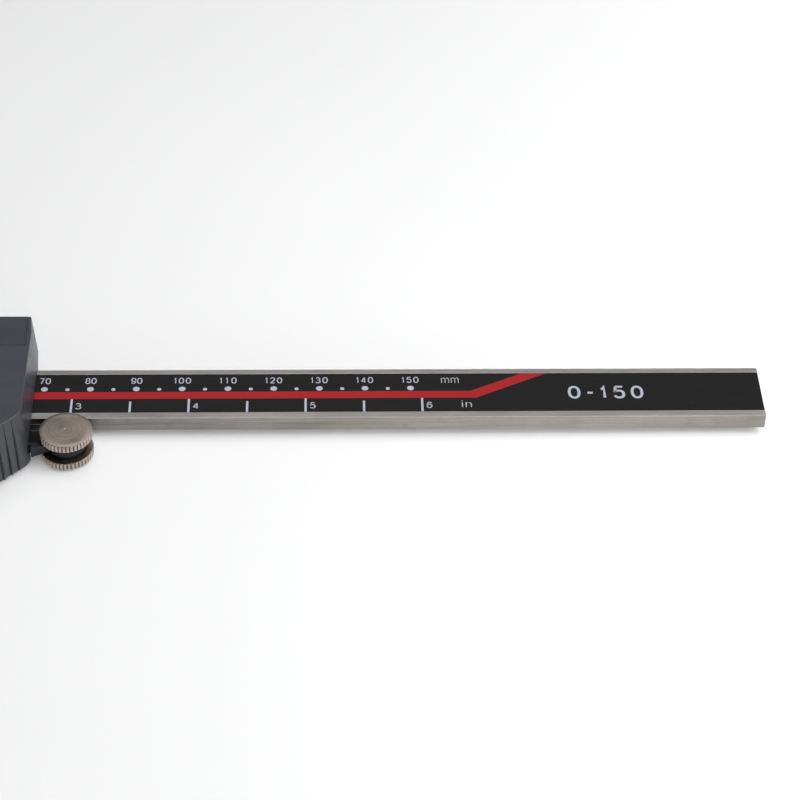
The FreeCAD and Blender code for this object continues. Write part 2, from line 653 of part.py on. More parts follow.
def pill(button_x, radius):
    centre_x, centre_y = number(button_x), number("-@button_y")
    points = []
    for side, start in ((1, -90), (-1, 90)):
        for i in range(PILL_STEPS + 1):
            angle = math.radians(start + 180 * i / PILL_STEPS)
            points.append((centre_x + side * PILL_HALF + radius * math.cos(angle),
                           centre_y + radius * math.sin(angle)))
    return points


def shape_shell_outside(housing):
    pad(housing, "shell_outline", "@shell_top - @shell_base", draft="@shell_draft",
        off="@shell_base", loops=[SHELL_OUTLINE])
    pad(housing, "grip_outline", "@shell_top - @grip_base", draft="@grip_draft",
        off="@grip_base", loops=[GRIP_OUTLINE])
    for radius, corners in (
            (0.8, [SHELL_OUTLINE[4], SHELL_OUTLINE[0]]),
            (0.35, [SHELL_OUTLINE[3]]),
            (4.0, [GRIP_OUTLINE[1]]),
            (2.4, GRIP_OUTLINE[2:7])):
        dress(housing, "Fillet", radius, slanted(corners))
    dress(housing, "Fillet", 0.2, level_at(TOP))


def add_grip_ribs(housing):
    """Sawtooth ribs on the grip's slanted face: each ramps out, then steps straight back."""
    rib_count, first_rib, rib_width, root = 4, 2.45, 0.66, -0.35
    step = number("@rib_step")
    along_face = Vector(-1, -1, 0).normalize()
    outward = Vector(1, -1, 0).normalize()
    lean = Rotation(along_face, number("@rib_lean"))
    to_sketch = lean.inverted()
    foot = Vector(*GRIP_OUTLINE[1], number("@grip_base"))
    sketch_z = to_sketch.multVec(foot).z + 0.06
    ribs = []
    for k in range(rib_count):
        start = first_rib + k * number("@rib_pitch")
        end = start + rib_width
        rib = []
        for along, out in ((start, root), (start, 0.0), (end, step), (end, root)):
            point = to_sketch.multVec(foot + along_face * along + outward * out)
            rib.append((point.x, point.y))
        ribs.append(rib)
    pad(housing, "grip_ribs", 13.85, loops=ribs,
        tilt=Placement(lean.multVec(Vector(0, 0, sketch_z)), lean))


def hollow_shell(housing):
    def clear(name, outline, low, high):
        pocket(housing, name, f"{high} - ({low})", up=True, off=low, loops=[outline])

    right, low, high = 65.5, -11.55, 12.9
    clear("frame_clearance", rect(0.0, -11.5, right, high), BELOW_SHELL, "@pcb_z")
    clear("beam_mouth", rect(64.0, "-@mouth_half", 69.0, "@mouth_half"), BELOW_SHELL, "@pcb_z")
    clear("main_cavity", rect(4.4, -12.5, right, high), BELOW_SHELL, SHELL_INSIDE)
    clear("grip_cavity", GRIP_CAVITY, BELOW_GRIP, SHELL_INSIDE)
    # the lower rail's path inside the grip's rim
    pocket(housing, "grip_rail_clearance", 6.0, up=True, off=BELOW_GRIP,
           loops=[rect(30.0, low, right, -9.0)])
    clear("arm_notch", rect(64.5, -16.55, 69.5, -9.0), BELOW_GRIP, "@arm_z + @arm_thick + 0.1")
    pocket(housing, "lock_relief", 3.2, plane="XZ_Plane", off=-12.0,
           circles=[("@lock_x", "@side_z", "@lock_rad + 0.3")])
    pocket(housing, "jaw_relief", 1.0, up=True, off=BELOW_SHELL,
           loops=[rect(0.0, -16.0, 17.0, -11.4)])
    pocket(housing, "wiper_seat", 4.35, up=True, off="@pcb_z - 0.2",
           loops=[rect(65.0, -8.0, 65.9, 8.0)])


def add_screw_bosses(housing):
    # the upper right boss is a block
    pad(housing, "boss_rings", 6.9, off="@pcb_z + 0.02", circles=BOSSES,
        loops=[rect(62.45, 9.5, 65.9, 13.3)])
    pad(housing, "boss_posts", 2.2, off=12.0, circles=BOSSES)
    pad(housing, "arm_posts", f"{SHELL_INSIDE} + 0.5 - @arm_z - @arm_thick",
        off="@arm_z + @arm_thick + 0.05", circles=circles_at(BRACKET_SCREWS, 1.7))
    pocket(housing, "pilot_holes", 10.0, up=True, off="@grip_base",
           circles=circles_at(HOUSING_SCREWS + BRACKET_SCREWS, "@screw_rad + 0.02"))


def open_shell_front(housing):
    """Openings for the display window, the buttons and the battery door."""
    seat = rect("@glass_left", "-@glass_low", "@glass_right", "@glass_high")
    pocket(housing, "window_seat", 1.2, off="@shell_top", loops=[seat])
    corners = [(number(x), number(y)) for x, y in seat]
    dress(housing, "Fillet", 1.2, lambda start, end, edge: (
        start.z > 13.8 and end.z > 13.8 and abs(start.z - end.z) > 1.0
        and any(math.hypot(start.x - x, start.y - y) < 0.02 for x, y in corners)))
    pocket(housing, "window_opening", 3.0, off="@shell_top", loops=[rect(
        "@glass_left + 1.2", "-@glass_low + 1.2", "@glass_right - 1.2", "@glass_high - 1.2")])
    pocket(housing, "button_holes", 3.0, off="@shell_top",
           circles=[("@zero_x", "-@button_y", "@zero_rad + 0.1")],
           loops=[pill(x, PILL_HOLE_RADIUS) for x in ("@power_x", "@unit_x")])
    pocket(housing, "door_opening", "@shell_wall + 0.2", off="@shell_top",
           loops=[rect("@door_left", "@door_low", 66.2, 16.0)])
    # the rim right of the door lies a little lower than the door's face
    pocket(housing, "door_rim", 0.09, off="@shell_top",
           loops=[rect(66.0, "@door_low - 0.1", 70.0, 17.0)])
    # slot in the shell's upper (+Y) wall, next to the door
    pocket(housing, "door_back_opening", "@shell_top - 7.0", off="@shell_top",
           loops=[rect("@door_left + 1.0", 12.0, 62.4, 16.0)])


def make_upper_housing():
    housing = new_body("upper_housing")
    shape_shell_outside(housing)
    add_grip_ribs(housing)
    hollow_shell(housing)
    add_screw_bosses(housing)
    open_shell_front(housing)
    screws("housing_screws", "housing_screw", HOUSING_SCREWS, face_z=0.08, tip_z=10.6,
           head_radius=1.55, head_height=0.85, radius="@screw_rad")


def shell_wall_y(z):
    """Y of the shell's drafted upper wall at height z."""
    return SHELL_HIGH - math.tan(math.radians(number("@shell_draft"))) * (z - BASE)


def make_battery_door():
    """Front plate, with a flange that closes the slot in the shell's upper wall."""
    door = new_body("battery_door")
    plate_z = f"{SHELL_INSIDE} - 0.1"
    pad(door, "door_plate", "66.2 - @door_left - 0.1",
        plane="YZ_Plane", off="@door_left + 0.05", loops=[[
            ("@door_low + 0.17", plate_z), (shell_wall_y(number(plate_z)), plate_z),
            (shell_wall_y(TOP), "@shell_top"), ("@door_low + 0.17", "@shell_top")]])
    dress(door, "Fillet", 0.15, lambda start, end, edge: (
        near(start.z, TOP) and near(end.z, TOP) and near(start.y, end.y) and start.y > 13))
    low, high, inner_y = 7.1, 13.6, 12.95
    pad(door, "door_flange", "62.4 - @door_left - 1.12",
        plane="YZ_Plane", off="@door_left + 1.06", loops=[[
            (inner_y, low), (shell_wall_y(low), low), (shell_wall_y(high), high),
            (inner_y, high)]])
    # three short grooves along X in the plate's front
    pocket(door, "door_grip_lines", 6.6, up=True, plane="YZ_Plane", off="@door_left + 6.0",
           loops=[rect(y, TOP - 0.22, y + 0.45, TOP + 0.2) for y in (9.6, 10.7, 11.8)])


# ================================================================= buttons
FLANGE_Z, FLANGE_THICK = 12.55, 0.9
CAP_Z = 13.2
STEM_Z, STEM_LENGTH = 8.45, 4.3


def make_pill_button(name, button_x):
    rise = 0.55      # cap above the display face
    x, y = number(button_x), number("-@button_y")
    button = new_body(name)
    pad(button, name + "_flange", FLANGE_THICK, off=FLANGE_Z,
        loops=[rect(x - 4.0, y - 2.05, x + 4.0, y + 2.05)])
    pad(button, name + "_cap", f"@shell_top - {CAP_Z} + {rise}", off=CAP_Z,
        loops=[pill(button_x, PILL_CAP_RADIUS)])
    dress(button, "Fillet", 0.3, level_at(TOP + rise))
    pad(button, name + "_stem", STEM_LENGTH, off=STEM_Z,
        circles=[(button_x, "-@button_y + 0.4", 0.9)])


def make_zero_button():
    rise = 0.6
    button = new_body("zero_button")
    pad(button, "zero_flange", FLANGE_THICK, off=FLANGE_Z,
        circles=[("@zero_x", "-@button_y", "@zero_rad + 0.4")])
    pad(button, "zero_cap", f"@shell_top - {CAP_Z} + {rise}", off=CAP_Z,
        circles=[("@zero_x", "-@button_y", "@zero_rad")])
    dress(button, "Fillet", 0.4, level_at(TOP + rise))
    pad(button, "zero_stem", STEM_LENGTH, off=STEM_Z,
        circles=[("@zero_x", "-@button_y + 0.4", 1.1)])


def make_buttons():
    make_pill_button("power_button", "@power_x")
    make_pill_button("unit_button", "@unit_x")
    make_zero_button()


# ================================================================= thumb roller
# (x, y) outline of the bracket: its arm to the roller, then its plate inside the grip
BRACKET_OUTLINE = [
    (44.2, -12.0), (66.9, -12.0), (66.9, -10.3), (73.0, -10.3),
    ("@roller_x", "-@roller_y + 0.5"), ("@roller_x", "-@roller_y - 1.5"),
    (72.0, -16.3), (70.6, -16.95), (68.6, -17.85), (68.6, -16.45), (65.6, -16.45),
    (64.15, -18.70), (59.5, -23.35), (58.35, -24.05), (57.2, -24.05), (56.1, -23.5),
    (52.4, -19.35), (47.7, -15.55), (44.2, -13.95),
]


def make_roller_bracket():
    bracket = new_body("roller_bracket")
    front = "@arm_z + @arm_thick"
    pad(bracket, "arm_outline", "@arm_thick", off="@arm_z", loops=[BRACKET_OUTLINE])
    pad(bracket, "arm_boss", "@arm_thick", off="@arm_z",
        circles=[("@roller_x", "-@roller_y", "@boss_rad")])
    pocket(bracket, "arm_bore", 4.0, off=front,
           circles=[("@roller_x", "-@roller_y", "@axle_rad + 0.05")]
           + circles_at(BRACKET_SCREWS, "@screw_rad + 0.08"))
    pocket(bracket, "arm_recess", 1.7, off=front,
           loops=[[(64.6, -15.7), (70.4, -15.7), (71.2, -15.3), (71.2, -9.0), (64.6, -9.0)]])
    screws("bracket_screws", "bracket_screw", BRACKET_SCREWS, face_z="@arm_z - 0.82",
           tip_z=9.8, head_radius=1.5, head_height=0.8, radius="@screw_rad")


def make_disc(name, z, profile):
    disc = new_body(name, x="@roller_x", y="-@roller_y", z=z)
    revolve(disc, name + "_profile", profile)
    notch_rim(disc, name + "_tooth", "@disc_rad", depth=0.26, half_width=0.3,
              off=-0.1, length=3.0, count=42)


def make_discs():
    """Two discs, as (radius, height) profiles; the upper one has a blind bore."""
    bore = "@neck_rad + 0.02"
    shoulder, crown = "@disc_rad - 0.18", "@disc_rad - 0.85"
    make_disc("roller_upper_disc", "@disc_high_z", [
        ("@disc_rad", 0.12), ("@disc_rad", "@disc_thick - 0.22"),
        (shoulder, "@disc_thick - 0.06"), (crown, "@disc_thick"),
        (0.45, "@disc_thick"), (0, "@disc_thick - 0.06"),
        (0, 1.1), (bore, 1.1), (bore, 0), ("@disc_rad - 0.15", 0),
    ])
    make_disc("roller_lower_disc", "@disc_low_z", [
        (bore, 0), (crown, 0), (shoulder, 0.06), ("@disc_rad", 0.22),
        ("@disc_rad", "@disc_thick - 0.12"), ("@disc_rad - 0.15", "@disc_thick"),
        (bore, "@disc_thick"),
    ])


def make_washer(name, z, height):
    outer = cylinder(name + "_out", "@roller_x", "-@roller_y", z, 3.0, height)
    inner = cylinder(name + "_in", "@roller_x", "-@roller_y", f"{z} - 1",
                     "@axle_rad + 0.02", 4.0)
    return cut(name, outer, [inner])


def make_axle():
    axle = new_body("roller_axle", x="@roller_x", y="-@roller_y")
    bottom, top = "@disc_low_z + 0.1", "@disc_high_z + 1.08"
    low_step, high_step = "@disc_low_z + @disc_thick + 0.01", "@disc_high_z - 0.01"
    revolve(axle, "axle_profile", [
        (0, bottom), ("@neck_rad", bottom), ("@neck_rad", low_step), ("@axle_rad", low_step),
        ("@axle_rad", high_step), ("@neck_rad", high_step), ("@neck_rad", top), (0, top)])
    keep(group("roller_washers", [
        make_washer("washer_top", "@arm_z + @arm_thick + 0.03", 0.14),
        make_washer("washer_low", "@disc_low_z + @disc_thick + 0.03", 0.62)]))


# ================================================================= lock screw and wiper
def make_lock():
    """Knurled screw through the upper rail, with a pad at its tip against the gib."""
    lock = new_body("lock_screw", x="@lock_x", z="@side_z", turn=ALONG_Y)
    tip, head, end = 10.95, 15.45, 19.85
    # (radius, Y)
    revolve(lock, "lock_profile", [
        (0, tip), ("@lock_rad - 0.3", tip), ("@lock_rad", 11.25), ("@lock_rad", head),
        ("@lock_head - 0.35", head), ("@lock_head", 15.75), ("@lock_head", 19.45),
        ("@lock_head - 0.4", end), (1.1, end), (0.9, 19.55), (0, 19.55)])
    notch_rim(lock, "lock_tooth", "@lock_head", depth=0.22, half_width=0.26,
              off=15.7, length=3.9, count=26)
    keep(cylinder("lock_pad", "@lock_x", 9.72, "@side_z", "@lock_rad", 1.15, turn=ALONG_Y))


def make_dust_wiper():
    """Thin wiper at the mouth of the shell, over the scale."""
    keep(box("dust_wiper", (65.53, 65.88), (-7.9, 7.9), (5.40, 9.4)))


# ---------------------------------------------------------------- build, check and export
for make in (
        make_main_beam, make_scale, make_end_stop,
        make_slider_frame, make_gib, make_depth_rod,
        make_sensor_board, make_board_components, make_display, make_battery,
        make_tact_switches, make_upper_housing, make_battery_door, make_buttons,
        make_roller_bracket, make_discs, make_axle, make_lock, make_dust_wiper):
    make()
doc.recompute()

failed = [item.Name for item in doc.Objects
          if any(word in item.State for word in ("Invalid", "Error"))]
if failed:
    raise RuntimeError("failed objects: " + ", ".join(failed))
for piece in pieces:
    shape = piece.Shape
    if shape.isNull() or not shape.isValid() or shape.Volume <= 0 or not shape.Solids:
        raise RuntimeError(f"{piece.Label}: bad shape")

os.makedirs("parts", exist_ok=True)
for piece in pieces:
    piece.Shape.exportStep(f"parts/{piece.Label}.step")
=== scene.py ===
"""A 0-150 mm digital caliper lying face up on a pale floor.

The beam runs along X with the scale's zero at x = 0, +Z is up and -Y is the front,
where the camera stands. Meshes are laid out in millimetres and scaled by MM.
"""
import bpy
import bmesh
import json
import math
import random
from mathutils import Matrix, Vector


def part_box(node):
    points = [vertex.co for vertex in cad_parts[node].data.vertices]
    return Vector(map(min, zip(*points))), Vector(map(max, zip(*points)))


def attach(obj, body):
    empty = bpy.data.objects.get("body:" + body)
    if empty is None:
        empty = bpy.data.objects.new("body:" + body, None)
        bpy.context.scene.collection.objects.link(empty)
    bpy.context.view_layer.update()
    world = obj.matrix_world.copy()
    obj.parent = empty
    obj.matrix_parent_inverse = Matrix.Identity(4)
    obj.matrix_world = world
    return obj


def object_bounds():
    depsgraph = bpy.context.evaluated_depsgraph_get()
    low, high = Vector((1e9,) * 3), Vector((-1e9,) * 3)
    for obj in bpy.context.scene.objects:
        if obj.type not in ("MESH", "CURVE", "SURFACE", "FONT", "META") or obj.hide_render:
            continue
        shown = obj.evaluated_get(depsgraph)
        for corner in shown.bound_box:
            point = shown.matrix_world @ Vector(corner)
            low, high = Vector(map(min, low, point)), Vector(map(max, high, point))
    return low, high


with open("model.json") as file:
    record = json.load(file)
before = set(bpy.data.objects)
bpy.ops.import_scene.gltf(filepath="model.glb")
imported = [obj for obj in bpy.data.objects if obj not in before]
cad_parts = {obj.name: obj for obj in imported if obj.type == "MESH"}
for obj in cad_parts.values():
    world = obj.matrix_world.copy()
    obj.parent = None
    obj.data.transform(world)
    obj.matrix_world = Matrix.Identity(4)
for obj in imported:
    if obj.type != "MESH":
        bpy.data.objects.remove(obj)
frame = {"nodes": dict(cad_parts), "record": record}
cad_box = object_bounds()
random.seed(7)
MM = 0.001
scene = bpy.context.scene


# =====================================================================
# node helpers
# =====================================================================
def scaled(colour, factor, lift=0.0):
    """A colour times a factor, plus a lift, held at 1."""
    return tuple(min(1.0, channel * factor + lift) for channel in colour)


def streaks(axis, lengthwise, across):
    """Noise densities for streaks that run along one axis."""
    return tuple(lengthwise if name == axis else across for name in "XYZ")


class Graph:
    """A node tree, cleared and given its output node."""

    def __init__(self, owner, output):
        owner.use_nodes = True
        self.tree = owner.node_tree
        self.tree.nodes.clear()
        self.output = self.node(output)
        self.coord = self.node("TexCoord")

    def node(self, kind, inputs=None, **props):
        """Adds a node; inputs maps socket names or numbers to values or output sockets."""
        node = self.tree.nodes.new("ShaderNode" + kind)
        for key, value in props.items():
            setattr(node, key, value)
        for key, value in (inputs or {}).items():
            self.put(node.inputs[key], value)
        return node

    def put(self, socket, value):
        if hasattr(value, "is_output"):
            self.tree.links.new(value, socket)
        elif socket.type == "RGBA":
            socket.default_value = (*value, 1)
        else:
            socket.default_value = value

    def surface(self, shader):
        self.put(self.output.inputs["Surface"], shader.outputs[0])

    def remap(self, value, span=(0.3, 0.7), to=(0.0, 1.0)):
        """Maps span to another range, clamped. The default span is the middle of a noise."""
        node = self.node("MapRange", {
            "Value": value, "From Min": span[0], "From Max": span[1],
            "To Min": to[0], "To Max": to[1]})
        return node.outputs["Result"]

    def mix_shaders(self, factor, first, second):
        return self.node("MixShader", {0: factor, 1: first.outputs[0], 2: second.outputs[0]})


class Mat(Graph):
    """A material in object space. Densities are per metre; radii and depths are in mm."""

    def __init__(self, name):
        self.material = bpy.data.materials.new(name)
        super().__init__(self.material, "OutputMaterial")
        self.place = self.coord.outputs["Object"]

    # ---- patterns
    def mapping(self, density, offset=(0, 0, 0)):
        if not isinstance(density, tuple):
            density = (density,) * 3
        node = self.node("Mapping", {"Vector": self.place, "Scale": density, "Location": offset})
        return node.outputs["Vector"]

    def noise_at(self, vector, detail, roughness, distortion=0.0):
        node = self.node("TexNoise", {
            "Vector": vector, "Scale": 1.0, "Detail": detail,
            "Roughness": roughness, "Distortion": distortion})
        return node.outputs["Fac"]

    def noise(self, density, detail, roughness, offset=(0, 0, 0), distortion=0.0):
        return self.noise_at(self.mapping(density, offset), detail, roughness, distortion)

    def stripes(self, density):
        """Even bands across X."""
        node = self.node("TexWave", {"Vector": self.mapping(density), "Scale": 1.0},
                         wave_type="BANDS", bands_direction="X")
        return node.outputs["Fac"]

    # ---- arithmetic
    def math(self, operation, first, second=0.0, clamp=False):
        node = self.node("Math", {0: first, 1: second}, operation=operation, use_clamp=clamp)
        return node.outputs[0]

    def add(self, first, second):
        return self.math("ADD", first, second)

    def invert(self, value):
        return self.math("SUBTRACT", 1.0, value)

    def product(self, first, *others):
        for other in others:
            first = self.math("MULTIPLY", first, other)
        return first

    def blend(self, first, second, share):
        """A weighted sum, where share is the first value's weight."""
        return self.add(self.product(first, share), self.product(second, 1.0 - share))

    def vector_math(self, operation, *inputs):
        return self.node("VectorMath", dict(enumerate(inputs)), operation=operation)

    # ---- colours
    def mix(self, factor, first, second, blend="MIX"):
        node = self.node("Mix", data_type="RGBA", blend_type=blend)
        # sockets 6, 7 and output 2 are the colour ones
        for key, value in (("Factor", factor), (6, first), (7, second)):
            self.put(node.inputs[key], value)
        return node.outputs[2]

    def multiply(self, base, colour):
        return self.mix(1.0, base, colour, "MULTIPLY")

    def grey(self, value):
        return self.node("CombineXYZ", {0: value, 1: value, 2: value}).outputs[0]

    # ---- geometry
    def split(self, vector):
        return self.node("SeparateXYZ", {0: vector}).outputs

    def normal_z(self):
        return self.split(self.node("NewGeometry").outputs["True Normal"])[2]

    def bevel(self, radius):
        return self.node("Bevel", {"Radius": radius * MM}, samples=4).outputs["Normal"]

    def edge(self, radius, gain=1.0):
        """gain near sharp edges and 0 on open faces."""
        normal = self.node("NewGeometry").outputs["Normal"]
        agreement = self.vector_math("DOT_PRODUCT", self.bevel(radius), normal)
        return self.remap(agreement.outputs["Value"], span=(0.995, 0.80), to=(0.0, gain))

    def openness(self, reach):
        node = self.node("AmbientOcclusion", {"Distance": reach * MM}, samples=8)
        return node.outputs["AO"]

    def shade(self, reach, span, dark):
        """A grey multiplier of painted shade: it falls to dark in tight gaps, and is 1 in the
        open.
        """
        return self.grey(self.remap(self.openness(reach), span=span, to=(dark, 1.0)))

    def bump(self, height, depth, strength, bevel=None):
        inputs = {"Height": height, "Distance": depth * MM, "Strength": strength}
        if bevel:
            inputs["Normal"] = self.bevel(bevel)
        return self.node("Bump", inputs).outputs["Normal"]

    def calm(self):
        """1, falling almost to 0 on upward faces seen nearly edge-on, to hold back lamp glare."""
        facing = self.node("LayerWeight").outputs["Facing"]
        top = self.remap(self.normal_z(), span=(0.70, 0.95))
        glancing = self.remap(facing, span=(0.50, 0.72), to=(0.0, 0.97))
        return self.invert(self.product(top, glancing))

    def principled(self, colour, roughness, normal, metallic=0.0, specular=0.5):
        """Sets the surface; non-metals lose their highlight where calm() falls."""
        if metallic == 0.0:
            specular = self.product(self.calm(), specular)
        shader = self.node("BsdfPrincipled", {
            "Base Color": colour, "Roughness": roughness, "Metallic": metallic,
            "Specular IOR Level": specular, "Normal": normal})
        self.surface(shader)
        return shader


# =====================================================================
# metals
# =====================================================================
def wear_flanks(m, base, side):
    """Paints light on the upright flanks: painted shade by place, painted shade in gaps, a line
    of painted shade and a painted glint on the top edge.

    Positions are in metres.
    """
    up = m.math("ABSOLUTE", m.normal_z())
    flank = m.remap(up, span=(0.2, 0.5), to=(1.0, 0.0))
    x, _, z = m.split(m.place)

    # painted shade: the flanks darker than the top faces, and darker towards both ends of the
    # beam
    lengthwise = m.add(m.remap(x, span=(0.075, 0.190), to=(-0.26, 0.12)),
                       m.remap(x, span=(0.192, 0.222), to=(0.0, -0.22)))
    tone = m.product(m.remap(up, span=(0.2, 0.9), to=(side, 1.0)),
                     m.add(1.0, m.product(flank, lengthwise)))
    base = m.multiply(base, m.grey(tone))
    # painted shade in tight gaps by the flanks
    gap_shade = m.shade(reach=9.0, span=(0.10, 0.42), dark=0.08)
    base = m.mix(flank, base, m.multiply(base, gap_shade))

    # a thin brown line of painted shade along the flank, fading towards +X
    line_height = 0.00343
    off_line = m.math("ABSOLUTE", m.math("SUBTRACT", z, line_height))
    line = m.remap(off_line, span=(0.00014, 0.00030), to=(1.0, 0.0))
    patchy = m.remap(m.noise(90, detail=4.0, roughness=0.6, offset=(2, 2, 7)),
                     span=(0.35, 0.60), to=(0.45, 0.95))
    fade = m.remap(x, span=(0.078, 0.165), to=(1.0, 0.10))
    base = m.mix(m.product(line, patchy, fade, flank), base, (0.085, 0.066, 0.050))

    # a painted glint, flecked, on the top edges
    edge_glint = m.remap(m.noise((1500, 3000, 3000), detail=4.0, roughness=0.7, offset=(6, 1, 2)),
                    span=(0.42, 0.62), to=(0.25, 1.0))
    near_top = m.remap(z, span=(0.0046, 0.0049))
    return m.mix(m.product(m.edge(0.11), edge_glint, near_top), base, (0.92, 0.89, 0.86))


def ground_steel(name, light, dark, rough, along="X", grain=1.0, aniso=0.5, side=1.0, gap=None):
    """Ground metal: long scratches along one axis, slow blotches and brighter edges, partly wear
    and partly a painted highlight.

    A flank-shade value below 1 paints shade onto the flanks; gap holds the arguments of shade(),
    for painted shade in tight gaps.
    """
    m = Mat(name)
    across = 9000 * grain
    fine = m.noise(streaks(along, 55, across), detail=5.0, roughness=0.62)
    broad = m.noise(streaks(along, 27.5, across * 0.30), detail=3.0, roughness=0.5,
                    offset=(3.1, 1.7, 2.3))
    lines = m.blend(fine, broad, share=0.6)
    blotch = m.noise((60, 160, 160), detail=4.0, roughness=0.55)
    smear = m.noise((220, 260, 260), detail=6.0, roughness=0.6, offset=(9, 4, 1), distortion=0.4)
    tone = m.add(m.remap(lines, span=(0.32, 0.68), to=(0.0, 0.75)),
                 m.remap(blotch, span=(0.35, 0.65), to=(0.0, 0.25)))
    base = m.mix(tone, dark, light)
    base = m.mix(m.remap(smear, span=(0.50, 0.72), to=(0.0, 0.22)), base, scaled(dark, 0.72))
    if side < 1.0:
        base = wear_flanks(m, base, side)
    # brighter edges, partly wear and partly a painted highlight; on the flanks the brightening
    # fades in tight gaps, where no light falls
    edge = m.edge(0.07, gain=0.5)
    if side < 1.0:
        edge = m.product(edge, m.remap(m.openness(9.0), span=(0.12, 0.50)))
    base = m.mix(edge, base, scaled(light, 1.35))
    # painted shade in tight gaps
    if gap:
        base = m.multiply(base, m.shade(**gap))
    roughness = m.add(m.remap(lines, to=rough), m.remap(smear, span=(0.4, 0.7), to=(0.0, 0.10)))
    normal = m.bump(lines, depth=0.006, strength=0.6, bevel=0.06)
    shader = m.principled(base, roughness, normal, metallic=1.0)
    if aniso:
        m.put(shader.inputs["Anisotropic"], aniso)
        tangent = m.node("CombineXYZ", dict(enumerate(streaks(along, 1, 0))))
        m.put(shader.inputs["Tangent"], tangent.outputs[0])
    return m.material


def turned_metal(name, light, dark, centre, axis="Z", rough=(0.24, 0.42), pitch=0.09,
                 groove_shade=0.0, flank=0.0, edge_highlight_tint=1.4):
    """Lathe-turned metal with concentric tool marks round an axis.

    centre is in metres and pitch in mm; the groove weight sets painted shade in the gaps, and
    flank scales the colour of the upright faces as painted light.
    """
    m = Mat(name)
    offset = m.vector_math("SUBTRACT", m.place, centre).outputs[0]
    flat = m.vector_math("MULTIPLY", offset, streaks(axis, 0, 1)).outputs[0]
    distance = m.vector_math("LENGTH", flat).outputs["Value"]
    wobble = m.noise(400, detail=2.0, roughness=0.5)
    radius = m.add(distance, m.product(wobble, 0.04 * MM))

    def ring_noise(spacing, detail, roughness):
        along = m.node("CombineXYZ", {0: m.product(radius, 1.0 / (spacing * MM))})
        return m.noise_at(along.outputs[0], detail, roughness)

    rings = ring_noise(pitch, detail=3.0, roughness=0.65)
    broad = ring_noise(0.55, detail=2.0, roughness=0.5)
    speck = m.noise(5200, detail=3.0, roughness=0.6)
    blotch = m.noise(330, detail=4.0, roughness=0.55, offset=(1, 5, 2))
    tone = m.add(m.remap(rings, to=(0.0, 0.45)), m.remap(broad, to=(0.0, 0.3)))
    tone = m.add(tone, m.remap(blotch, span=(0.35, 0.65), to=(0.0, 0.25)))
    base = m.mix(tone, dark, light)
    base = m.mix(m.remap(speck, span=(0.60, 0.75), to=(0.0, 0.35)), base, scaled(dark, 0.6))
    # painted light: the colour of the upright faces scaled by flank
    if flank:
        upright = m.remap(m.math("ABSOLUTE", m.normal_z()), span=(0.2, 0.6), to=(1.0, 0.0))
        base = m.mix(upright, base, m.multiply(base, (flank, flank, flank)))
    # painted shade in the gaps
    if groove_shade:
        gap_shade = m.shade(reach=0.9, span=(0.55, 0.95), dark=0.12)
        base = m.mix(groove_shade, base, m.multiply(base, gap_shade))
    # a painted highlight on the edges
    base = m.mix(m.edge(0.10, gain=0.8), base, scaled(light, edge_highlight_tint))
    roughness = m.add(m.remap(rings, to=rough),
                      m.remap(blotch, span=(0.4, 0.65), to=(0.0, 0.08)))
    height = m.blend(rings, speck, share=0.7)
    m.principled(base, roughness, m.bump(height, depth=0.008, strength=0.8, bevel=0.07),
                 metallic=1.0)
    return m.material


# =====================================================================
# plastics, inks and films
# =====================================================================
def moulded(name, colour, light=None, rough=(0.36, 0.50), grain=0.09, edge_highlight_gain=0.35,
            spec=0.5, gap=None):
    """Satin moulded plastic: a fine grain (in mm), faint blotches, dust, a painted highlight on
    the edges and, with gap, painted shade in tight gaps.
    """
    m = Mat(name)
    bevel = 0.16
    density = 1.0 / (grain * MM)
    fine = m.noise(density, detail=3.0, roughness=0.6)
    coarse = m.noise(density * 0.33, detail=2.0, roughness=0.5, offset=(4, 7, 1))
    blotch = m.noise(130, detail=5.0, roughness=0.6, offset=(2, 3, 5))
    dust = m.noise(2300, detail=2.0, roughness=0.5, offset=(5, 1, 8))
    base = m.mix(m.remap(blotch, to=(0.0, 0.55)), colour, light or scaled(colour, 1.22))
    base = m.mix(m.remap(dust, span=(0.74, 0.80), to=(0.0, 0.22)), base,
                 scaled(colour, 2.2, lift=0.03))
    # a painted highlight on the edges
    base = m.mix(m.edge(bevel * 1.2, gain=edge_highlight_gain), base, scaled(colour, 1.9, lift=0.01))
    # painted shade in tight gaps
    if gap:
        base = m.multiply(base, m.shade(**gap))
    roughness = m.add(m.remap(coarse, to=rough),
                      m.remap(blotch, span=(0.35, 0.7), to=(-0.04, 0.05)))
    height = m.blend(fine, coarse, share=0.55)
    normal = m.bump(height, depth=0.012, strength=0.9, bevel=bevel)
    m.principled(base, roughness, normal, specular=spec)
    return m.material


def printed(name, colour, rough=0.42, spec=0.4):
    """Screen-printed ink: very thin, slightly mottled."""
    m = Mat(name)
    fine = m.noise(9000, detail=3.0, roughness=0.6)
    broad = m.noise(700, detail=3.0, roughness=0.5)
    base = m.mix(m.remap(fine, span=(0.35, 0.7)), colour, scaled(colour, 0.88))
    base = m.mix(m.remap(broad, span=(0.4, 0.7), to=(0.0, 0.25)), base, scaled(colour, 0.82))
    m.principled(base, m.remap(fine, to=(rough - 0.06, rough + 0.08)),
                 m.bump(fine, depth=0.003, strength=0.5), specular=spec)
    return m.material


